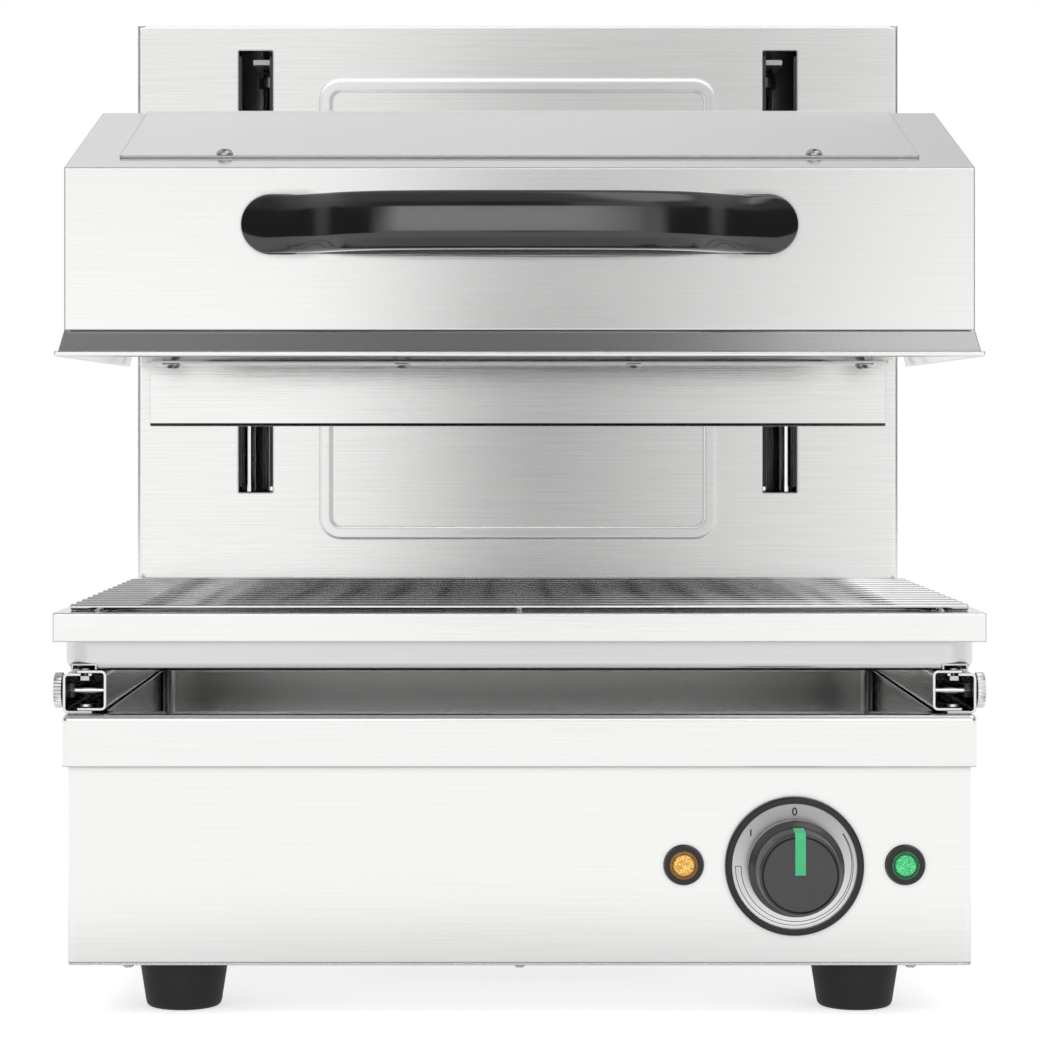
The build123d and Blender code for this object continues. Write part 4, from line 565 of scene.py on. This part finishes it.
screw_radius, floor_radius = 0.0036, 0.003
low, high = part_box("base_screws")
grow(
    pan_head("floor_screws", floor_radius * 1000, 2.5), in_rows, "base", "zinc_screw", ["base_screws"],
    Columns=3, Column_Step=((high.x - low.x) / 2 - floor_radius, 0, 0),
    Rows=2, Row_Step=(0, high.y - low.y - 2 * floor_radius, 0),
    First=(low.x + floor_radius, low.y + floor_radius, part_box("base_floor")[0].z),
    Aim=(math.radians(180), 0, 0), Finish=zinc,
)
for name, node, columns, rows in (
    ("base_back_screws", "back_screws", 3, 2),
    ("column_back_screws", "column_screws", 2, 3),
):
    low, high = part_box(node)
    grow(
        pan_head(name, screw_radius * 1000, 2.4), in_rows, "base", "zinc_screw", [node],
        Columns=columns, Column_Step=((high.x - low.x - 2 * screw_radius) / (columns - 1), 0, 0),
        Rows=rows, Row_Step=(0, 0, -(high.z - low.z - 2 * screw_radius) / (rows - 1)),
        First=(low.x + screw_radius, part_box("base_back")[1].y, high.z - screw_radius),
        Aim=(math.radians(-90), 0, 0), Finish=zinc,
    )
dress(zinc, "foot_bolts", "handle_screws", "carriage_screws", "slide_screws", "rail_keepers", "rail_nuts")


# ---------------------------------------------------------------- dial
# A spun aluminium disc in a black nylon ring, screen printed with a 0, a 1 and a wedge that
# grows with the heat. Concentric turning marks catch the light in a fan.

# Satin black nylon: dark grey where it catches the light, with a fine moulded skin.
satin_black = moulded("satin_black_nylon", "#202021", "#161617", 0.3, 0.42, 0.5, 0.02, IOR=1.5)
dress(satin_black, "dial_bezel", "slot_trims", "cable_gland", "handle_pads")
ring_low, ring_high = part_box("dial_bezel")
dial_x, dial_z = (ring_low.x + ring_high.x) / 2, (ring_low.z + ring_high.z) / 2
plate_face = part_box("dial_plate")[0].y

# Spun aluminium: rings left by the tool, 5.2 to the millimetre, and a painted sheen that makes
# the disc lighter towards its foot and darker towards its top.
marks_per_mm, painted_sheen_low, painted_sheen_high = 5.2, -0.026, 0.024
spun, tree, shader = new_material("spun_aluminium_dial", Metallic=1.0, Roughness=0.3)
place = add(tree, "ShaderNodeTexCoord").outputs["Object"]
centred = add(
    tree, "ShaderNodeVectorMath", {0: place, 1: (dial_x, plate_face, dial_z)}, operation="SUBTRACT",
)
reach = add(tree, "ShaderNodeVectorMath", {0: centred}, operation="LENGTH").outputs["Value"]
rings = add(tree, "ShaderNodeMath", {0: reach, 1: 1000.0 * marks_per_mm}, operation="MULTIPLY")
turning = add(tree, "ShaderNodeCombineXYZ", {0: rings})
marks = add(tree, "ShaderNodeTexNoise", {"Vector": turning}, Scale=1.0, Detail=3.0)
fan = add(tree, "ShaderNodeSeparateXYZ", {0: centred})
# Painted sheen: the colour runs from dark at the top of the disc to light at its foot.
painted_sheen_share = add(
    tree, "ShaderNodeMapRange", {"Value": fan.outputs[2]},
    From_Min=painted_sheen_low, From_Max=painted_sheen_high, To_Min=1.0, To_Max=0.0,
)
tone = add(
    tree, "ShaderNodeMix", {0: painted_sheen_share, 6: linear("#b4b4b5"), 7: linear("#f4f4f4")}, data_type="RGBA",
)
relief = add(tree, "ShaderNodeBump", {"Height": marks}, Strength=0.5, Distance=0.00003)
tree.links.new(tone.outputs[2], shader.inputs["Base Color"])
tree.links.new(relief.outputs[0], shader.inputs["Normal"])
dress(spun, "dial_plate")


def printed(name, strokes, y_mm, middle, material):
    """Flat ink strokes on an upright face: each is a list of (x, z) with a width, in millimetres."""
    ink_mm = 0.04
    points, faces = [], []
    for line, width in strokes:
        start = len(points)
        for i, (x, z) in enumerate(line):
            x0, z0 = line[max(i - 1, 0)]
            x1, z1 = line[min(i + 1, len(line) - 1)]
            run = math.hypot(x1 - x0, z1 - z0)
            nx, nz = -(z1 - z0) / run * width / 2, (x1 - x0) / run * width / 2
            for side in (1, -1):
                for y in (y_mm, y_mm + ink_mm):
                    points.append((middle[0] + x + side * nx, y, middle[1] + z + side * nz))
        for i in range(len(line) - 1):
            a, b = start + 4 * i, start + 4 * i + 4
            faces += [(a, b, b + 2, a + 2), (a + 1, a + 3, b + 3, b + 1)]
            faces += [(a, a + 1, b + 1, b), (a + 2, b + 2, b + 3, a + 3)]
        end = start + 4 * (len(line) - 1)
        faces += [(start, start + 2, start + 3, start + 1), (end, end + 1, end + 3, end + 2)]
    return solid(name, points, faces, material)


def arc(radius_from, radius_to, start, end, steps=48):
    """Points along an arc, angles in degrees anticlockwise from the right, its radius growing."""
    line = []
    for i in range(steps + 1):
        share = i / steps
        angle = math.radians(start + (end - start) * share)
        radius = radius_from + (radius_to - radius_from) * share
        line.append((radius * math.cos(angle), radius * math.sin(angle)))
    return line


# Screen printed ink: a flat dark grey film, slightly satin.
ink = moulded("screen_printed_ink", "#343435", "#2a2a2b", 0.5, 0.6, 0.2, 0.004)
zero_level, zero_half_wide, zero_half_tall, zero_stroke = 26.4, 0.95, 1.65, 0.75
one_level, one_angle, one_half_tall, one_stroke = 26.6, 142.6, 1.7, 0.7
band_start, band_end, hairline = 180, 394, 0.32
print_lift = 0.03
zero = []
for step in range(25):
    angle = step * math.pi / 12
    zero.append((zero_half_wide * math.cos(angle), zero_level + zero_half_tall * math.sin(angle)))
one_x, one_z = arc(one_level, one_level, one_angle, one_angle, 1)[0]
strokes = [
    (zero, zero_stroke),
    ([(one_x, one_z - one_half_tall), (one_x, one_z + one_half_tall)], one_stroke),
    (arc(28.6, 28.3, band_start, band_end), hairline),
    (arc(25.8, 28.0, band_start, band_end), hairline),
    (arc(25.7, 28.7, band_start, band_start, 2), hairline),
]
dial_centre = (dial_x * 1000, dial_z * 1000)
seat(
    printed("dial_print", strokes, plate_face * 1000 - print_lift, dial_centre, ink),
    "base",
)


# ---------------------------------------------------------------- knob
# Moulded in dark grey nylon: a skirt, a waisted body and a disc set in a groove at the front.
# The green pointer is a second moulding, pressed into its slot over the edge of the disc.
def facing_front(points, x, y, z):
    """Turns points made round Z to look out of the front, with their zero at this place in mm."""
    return [(x + px, y - pz, z + py) for px, py, pz in points]


# Grey nylon, moulded and smooth: broad soft highlights down the waist.
knob_grey = moulded("dark_grey_nylon", "#3e3e3f", "#343435", 0.18, 0.26, 0.6, 0.01, IOR=1.56)
knob_profile = [
    (4.0, 1.6), (19.5, 1.6), (22.6, 1.6), (22.9, 1.9), (23.2, 10.6), (23.1, 11.6), (22.7, 12.6), (22.0, 13.5),
    (21.2, 14.1), (20.8, 14.6), (20.4, 17.0), (19.6, 30.4), (19.45, 31.2), (19.1, 31.9), (18.7, 32.25),
    (18.35, 32.3), (18.0, 32.0), (17.85, 31.2), (17.75, 31.2), (17.65, 32.2), (17.4, 32.75), (17.0, 33.0),
    (16.0, 33.0), (0.4, 33.0),
]
points, faces = turned(knob_profile, 128)
front_mm = base_front * 1000
points = facing_front(points, dial_x * 1000, front_mm, dial_z * 1000)
seat(solid("knob_moulding", points, faces, knob_grey, sharp=30.0), "control_knob", ["knob"])

# Green ABS: an even, slightly glossy colour that stands out from the grey.
pointer_green = moulded("mint_green_abs", "#4cc486", "#3eb878", 0.3, 0.4, 0.4, 0.01, IOR=1.5)
pointer_line = [
    (0.0, 33.4), (17.0, 33.4), (18.4, 33.3), (19.3, 32.9), (19.9, 32.1), (20.15, 30.6), (20.85, 20.5),
]
half_width, sunk, disc_face, rim_start = 2.5, 1.2, 33.0, 19.5
points = []
for reach, out in pointer_line:
    under = (reach - (sunk if out < disc_face else 0.0), out - (sunk if reach < rim_start else 0.0))
    for side, (up, ahead) in ((-1, (reach, out)), (1, (reach, out)), (1, under), (-1, under)):
        points.append((dial_x * 1000 + side * half_width, front_mm - ahead, dial_z * 1000 + up))
seat(
    solid("pointer_moulding", points, sleeve(len(pointer_line), 4), pointer_green, sharp=50.0),
    "control_knob", ["knob_pointer"],
)


# ---------------------------------------------------------------- pilot lamps
# Neon lamps: a black nylon ring and holder, and a cap of clear tinted polycarbonate, faceted
# inside so that it sparkles. The caps snap into the rings.
dress(satin_black, "lamp_holders")


def tinted(name, light, dark, edge, middle, strength):
    """Tinted polycarbonate over a lamp: painted sparkle of bright facets between darker ones, under a glossy
    skin.
    """
    facets_per_mm, rim_from, rim_to, rim_glow = 1.05, 0.0046, 0.0056, 0.12
    made, tree, shader = new_material(
        name, Roughness=0.08, IOR=1.58, Coat_Weight=1.0, Coat_Roughness=0.04, Emission_Strength=strength,
    )
    place = add(tree, "ShaderNodeTexCoord").outputs["Object"]
    facets = add(tree, "ShaderNodeTexVoronoi", {"Vector": place}, Scale=1000.0 * facets_per_mm)
    spread = add(
        tree, "ShaderNodeMapRange", {"Value": facets.outputs["Distance"]}, From_Min=0.15, From_Max=0.7,
    )
    # Painted glints: each facet takes a lighter or darker colour, and glows in it.
    painted_sparkle = add(tree, "ShaderNodeMix", {0: spread, 6: linear(light), 7: linear(dark)}, data_type="RGBA")
    centred = add(tree, "ShaderNodeVectorMath", {0: place, 1: middle}, operation="SUBTRACT")
    flat = add(tree, "ShaderNodeVectorMath", {0: centred, 1: (1.0, 0.0, 1.0)}, operation="MULTIPLY")
    reach = add(tree, "ShaderNodeVectorMath", {0: flat}, operation="LENGTH").outputs["Value"]
    rim = add(tree, "ShaderNodeMapRange", {"Value": reach}, From_Min=rim_from, From_Max=rim_to)
    tone = add(tree, "ShaderNodeMix", {0: rim, 6: painted_sparkle.outputs[2], 7: linear(edge)}, data_type="RGBA")
    glow_share = add(tree, "ShaderNodeMapRange", {"Value": rim}, To_Min=1.0, To_Max=rim_glow)
    glowing = add(
        tree, "ShaderNodeVectorMath", {0: painted_sparkle.outputs[2], "Scale": glow_share}, operation="SCALE",
    )
    relief = add(
        tree, "ShaderNodeBump", {"Height": facets.outputs["Distance"]}, Strength=0.7, Distance=0.0004,
    )
    tree.links.new(tone.outputs[2], shader.inputs["Base Color"])
    tree.links.new(relief.outputs[0], shader.inputs["Normal"])
    tree.links.new(glowing.outputs[0], shader.inputs["Emission Color"])
    return made


lens_profile = [
    (7.0, 1.0), (6.98, 2.3), (6.85, 2.7), (6.5, 2.95), (5.9, 3.0), (5.7, 2.7), (5.5, 2.1), (5.2, 2.0),
    (5.05, 2.3), (4.9, 3.0), (4.4, 3.35), (3.3, 3.5), (1.6, 3.58), (0.3, 3.6),
]

# Amber and green polycarbonate: strong colours with painted sparkle, and a faint glow of their own.
lamp_strength = 0.2
for node, name, slot_name, light, dark, edge in (
    ("lamp_lens_amber", "amber_lamp_cap", "amber_lens", "#ffe16a", "#d08a14", "#7a4a10"),
    ("lamp_lens_green", "green_lamp_cap", "green_lens", "#4af09a", "#10a858", "#0c4a2c"),
):
    low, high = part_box(node)
    middle = ((low.x + high.x) / 2, 0.0, (low.z + high.z) / 2)
    lens = tinted(name + "_polycarbonate", light, dark, edge, middle, lamp_strength)
    points, faces = turned(lens_profile, 48)
    points = facing_front(points, middle[0] * 1000, front_mm, middle[2] * 1000)
    seat(solid(name, points, faces, lens), "base", [node])


# ---------------------------------------------------------------- clamp screws
# Knurled thumb screws of turned steel, nickel plated, one through each outer rail. Fine
# flutes run straight across the rim, and a shallow turned dish sinks the outer face.

# Bright nickel: a warm white mirror, a little clouded, without dark seams.
nickel = plated("bright_nickel_plating", "#f6f6f6", "#e6e6e7", 0.16, 0.26, 0.006, seam=0.7)
flutes, flute_steps, flute_depth = 30, 8, 0.28
bolt_radius, neck_radius, head_thick, neck_length = 2.0, 4.0, 4.3, 1.1
rim_rings = (4, 5, 6, 7)


def fluted(ring, step):
    """Depth of a flute at a step round the rim, and nothing on the rings beside it."""
    return flute_depth * math.cos(2 * math.pi * step / flute_steps) if ring in rim_rings else 0.0


for side, body, node in ((-1, "left_clamp", "thumb_screw_left"), (1, "right_clamp", "thumb_screw_right")):
    low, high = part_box(node)
    axis_y, axis_z = (low.y + high.y) * 500, (low.z + high.z) * 500
    rim = (high.z - low.z) * 500
    inner, outer = sorted((abs(low.x) * 1000, abs(high.x) * 1000))
    head_back = outer - head_thick
    profile = [
        (bolt_radius, inner), (bolt_radius, head_back - neck_length), (neck_radius, head_back - neck_length),
        (neck_radius, head_back), (rim - 0.9, head_back), (rim - 0.3, head_back + 0.3),
        (rim - 0.3, outer - 0.5), (rim - 0.9, outer - 0.05), (rim - 2.2, outer), (rim - 2.6, outer - 0.5),
        (0.3, outer - 0.6),
    ]
    points, faces = turned(profile, flutes * flute_steps, fluted)
    points = [(side * z, axis_y + x, axis_z + side * y) for x, y, z in points]
    seat(solid("knurled_" + body, points, faces, nickel, sharp=50.0), body, [node])


# ---------------------------------------------------------------- wire rack
# Long wires of bright chromed steel lie across three thicker bearers and are spot welded to
# them. The wires' ends are tumbled round.

# Bright chromium: the hardest mirror on the machine, black and white along each wire.
rack_chrome = plated("bright_chromed_wire", "#eeeeef", "#d8d9da", 0.05, 0.1, 0.0008, seam=0.4)
low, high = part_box("wire_rack")
wire_radius, bearer_radius, wire_count = 1.6, 2.5, 13
front_wire_inset, bearer_inset = 0.0045, 0.0135
wire_level, bearer_level = high.z - wire_radius / 1000, low.z + bearer_radius / 1000
first_wire, last_wire = low.y + front_wire_inset, high.y - bearer_radius / 1000
wire_step = (last_wire - first_wire) / (wire_count - 1)
bearer_x = high.x - bearer_inset


def rod(name, radius, length, material, steps=24):
    """A round rod along X from the middle, with rounded ends."""
    end_steps, end_length, tip_radius = 4, 0.6, 0.15
    profile = []
    for i in range(end_steps + 1):
        angle = math.radians(90 * i / end_steps)
        from_end = radius * (1 - math.cos(angle)) * end_length
        profile.append((max(tip_radius, radius * math.sin(angle)), -length / 2 + from_end))
    profile += [(r, -z) for r, z in reversed(profile)]
    points, faces = turned(profile, steps)
    return solid(name, [(z, y, x) for x, y, z in points], faces, material)


grow(
    rod("rack_wires", wire_radius, (high.x - low.x) * 1000, rack_chrome), in_rows,
    "rack", "rack_wire", ["wire_rack"], Columns=1, Rows=wire_count, Row_Step=(0, wire_step, 0),
    First=(0, first_wire, wire_level), Finish=rack_chrome,
)
grow(
    rod("rack_bearers", bearer_radius, (high.y - low.y) * 1000, rack_chrome), in_rows,
    "rack", "rack_wire", [], Columns=3, Column_Step=(bearer_x, 0, 0), Rows=1,
    First=(-bearer_x, (low.y + high.y) / 2, bearer_level), Aim=(0, 0, math.radians(90)), Finish=rack_chrome,
)
weld_profile = [(0.3, 1.5), (1.3, 1.2), (2.1, 0.3), (2.4, -0.8), (1.6, -1.6), (0.3, -1.9)]
grow(
    solid("rack_welds", *turned(weld_profile, 20), rack_chrome), in_rows,
    "rack", "rack_wire", [], Columns=3, Column_Step=(bearer_x, 0, 0),
    Rows=wire_count, Row_Step=(0, wire_step, 0),
    First=(-bearer_x, first_wire, (wire_level + bearer_level) / 2), Finish=rack_chrome,
)


# ---------------------------------------------------------------- rods and struts
# Guide rods and gas cylinders stand in the column, held by brackets and blocks of zinc plated
# mild steel. Bushes run on the rods, and the struts carry the head.

# Hard chromium, ground: a near perfect mirror.
hard_chrome = plated("hard_chromed_rod", "#fafafb", "#f2f2f3", 0.05, 0.09, 0.001)
dress(hard_chrome, "guide_rods", "strut_rods")
# Zinc on mild steel: mid grey and dull, with a soft bloom.
zinc_steel = plated("zinc_plated_mild_steel", "#b4b6ba", "#93959a", 0.28, 0.42, 0.02)
dress(zinc_steel, "rod_brackets", "rod_collars", "strut_brackets", "sliders", "slot_spacers", "knob_shaft")
# Sintered bronze: dull brown gold, with the grain of its powder.
bronze = plated("sintered_bronze", "#a8834c", "#8a6a3a", 0.4, 0.55, 0.03)
dress(bronze, "slider_bushings")
# Stove enamel: smooth black with a slight orange peel.
enamel = moulded("black_stove_enamel", "#1a1a1b", "#111112", 0.2, 0.3, 0.8, 0.02, IOR=1.5)
dress(enamel, "gas_struts")


# ---------------------------------------------------------------- controls inside the base
# The heat regulator, in a case of urea resin, sits behind the dial. The terminal block, of
# steatite, takes the supply. Both are pressed in steel moulds.

# Urea resin: a warm cream with a satin skin.
cream = moulded("cream_urea_moulding", "#d8d0b8", "#c8bfa6", 0.4, 0.5, 0.6, 0.02)
dress(cream, "energy_regulator")
# Unglazed steatite: a chalky, matt off-white.
steatite = moulded("unglazed_steatite", "#e6e1d6", "#d6d0c3", 0.6, 0.75, 0.5, 0.04)
dress(steatite, "terminal_block", "element_insulators")


# ---------------------------------------------------------------- heaters
# Tube heaters, sheathed in stainless steel, hang under a folded reflector of bright sheet.
# Punched plates of the same sheet carry the tubes.

# Stainless tube that heat has turned a mottled, dull grey brown.
sheath = plated("oxidised_heater_sheath", "#6a635c", "#453f3a", 0.4, 0.6, 0.03)
dress(sheath, "heating_elements")
# Bright rolled sheet: a soft, pale mirror.
bright_sheet = plated("bright_rolled_sheet", "#ebebea", "#dadad9", 0.12, 0.2, 0.01)
dress(bright_sheet, "reflector", "element_hangers")


# ---------------------------------------------------------------- cover screws
# Four zinc plated pan head screws hold the cover on the head: two on the slope in front, and
# two on the flat at the back.
low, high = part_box("cover_screws")
cover_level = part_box("head_cover")[1].z
cover_radius, cover_height = 0.00415, 2.4
roof_level, slope_foot, slope_run, sheet = 0.4530, 0.4125, 0.150, 0.0012
front_inset = 0.029
slope = math.atan2(roof_level - slope_foot, slope_run)
slope_level = slope_foot + front_inset * math.tan(slope) + sheet / math.cos(slope)
screw_x = high.x - cover_radius
for name, stands_for, place_y, place_z, aim in (
    ("front_cover_screws", ["cover_screws"], base_front + front_inset, slope_level, (slope, 0, 0)),
    ("rear_cover_screws", [], high.y - cover_radius, cover_level, (0.0, 0.0, 0.0)),
):
    grow(
        pan_head(name, cover_radius * 1000, cover_height), in_rows, "head", "zinc_screw", stands_for,
        Columns=2, Column_Step=(2 * screw_x, 0, 0), Rows=1, First=(-screw_x, place_y, place_z),
        Aim=aim, Finish=zinc,
    )


# ---------------------------------------------------------------- carriage plate hem
# The lower edge of the carriage plate is pressed forward into a slim lip, which stiffens it.
# The lip is coloured dark as a painted shadow, so it draws the line of shade under the plate across the
# column.

# Painted shadow on stainless: a dull straw grey, several shades darker than the plate.
shadow_lip_steel = brushed("heat_tinted_stainless_lip", "#6f6d69", "#5c5a57", 0.2, 0.3, 0.02, 0.3)
low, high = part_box("carriage_plate")
lip = [(0.3, 1.9), (-0.6, 1.5), (-1.0, 1.0), (-0.6, 0.4), (0.3, 0.0)]
points = [(side * high.x * 1000, low.y * 1000 + y, low.z * 1000 + z) for side in (-1, 1) for y, z in lip]
seat(solid("plate_lip", points, sleeve(2, len(lip)), shadow_lip_steel, sharp=60.0), "head")


# ---------------------------------------------------------------- bow handle
# A phenolic moulding: a flat front between two bevels, bowed out from the panel and rounded
# at both ends, where a screw from inside the head holds it on a thin pad.
def through(stops, x):
    """A smooth curve through (place, value) stops, level at the first one."""
    slopes = [0.0]
    for i in range(1, len(stops) - 1):
        slopes.append((stops[i + 1][1] - stops[i - 1][1]) / (stops[i + 1][0] - stops[i - 1][0]))
    slopes.append((stops[-1][1] - stops[-2][1]) / (stops[-1][0] - stops[-2][0]))
    for i in range(len(stops) - 1):
        (x0, y0), (x1, y1) = stops[i], stops[i + 1]
        if x <= x1 or i == len(stops) - 2:
            run = x1 - x0
            t = min(max((x - x0) / run, 0.0), 1.0)
            return (
                y0 * (2 * t ** 3 - 3 * t ** 2 + 1) + slopes[i] * run * (t ** 3 - 2 * t ** 2 + t)
                + y1 * (3 * t ** 2 - 2 * t ** 3) + slopes[i + 1] * run * (t ** 3 - t ** 2)
            )


def eased_outline(corners, cut, arc_steps=5):
    """A closed outline whose corners are rounded off, as points."""
    line = []
    for i, corner in enumerate(corners):
        before, after = corners[i - 1], corners[(i + 1) % len(corners)]
        ends = []
        for other in (before, after):
            run = max(math.dist(corner, other), 1e-6)
            share = min(cut / run, 0.45)
            ends.append([corner[c] + (other[c] - corner[c]) * share for c in (0, 1)])
        for k in range(arc_steps + 1):
            t = k / arc_steps
            line.append([
                (1 - t) ** 2 * ends[0][c] + 2 * t * (1 - t) * corner[c] + t * t * ends[1][c] for c in (0, 1)
            ])
    return line


low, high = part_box("handle")
half, grip, reach = high.x * 1000, (high.z - low.z) * 500, (base_front - low.y) * 1000
middle_z, pad = (low.z + high.z) * 500, (base_front - high.y) * 1000
flat, bevel, draft, corner_cut = 8.0, 6.0, 1.8, 2.4
bow = [
    (0, reach), (half - 78.5, reach - 3), (half - 52.5, reach - 12), (half - 29.5, reach - 32), (half, pad),
]
hollow = [
    (0, reach - 13), (half - 78.5, reach - 17), (half - 52.5, reach - 29.5), (half - 33.5, pad), (half, pad),
]
stations, end_share, least_tall = 200, 0.9999, 0.0004    # the ends must not close to a line
points = []
for i in range(stations + 1):
    x = half * math.sin(math.pi / 2 * (2 * i / stations - 1)) * end_share
    front = max(through(bow, abs(x)), pad + 0.02)
    back = min(max(through(hollow, abs(x)), pad), front - 0.01)
    past = max(0.0, abs(x) - (half - grip)) / grip
    tall = grip * math.sqrt(max(1 - past ** 2, least_tall))
    thick = front - back
    shoulder = front - min(bevel, thick * 0.55)
    drawn = front - min(draft, thick * 0.2)
    section = [
        (front, -flat / grip * tall), (drawn, flat / grip * tall), (shoulder, tall), (back, tall),
        (back, -tall), (shoulder, -tall),
    ]
    outline = eased_outline(section, corner_cut)
    points += [(x, front_mm - y, middle_z + z) for y, z in outline]
# Phenolic, moulded in a polished tool: deep black under a hard gloss.
phenolic = moulded(
    "gloss_black_phenolic", "#0a0a0b", "#060607", 0.12, 0.18, 2.5, 0.003,
    IOR=1.6, Coat_Weight=0.6, Coat_Roughness=0.04,
)
seat(
    solid("bow_handle", points, sleeve(stations + 1, len(outline)), phenolic, sharp=60.0),
    "head", ["handle"],
)
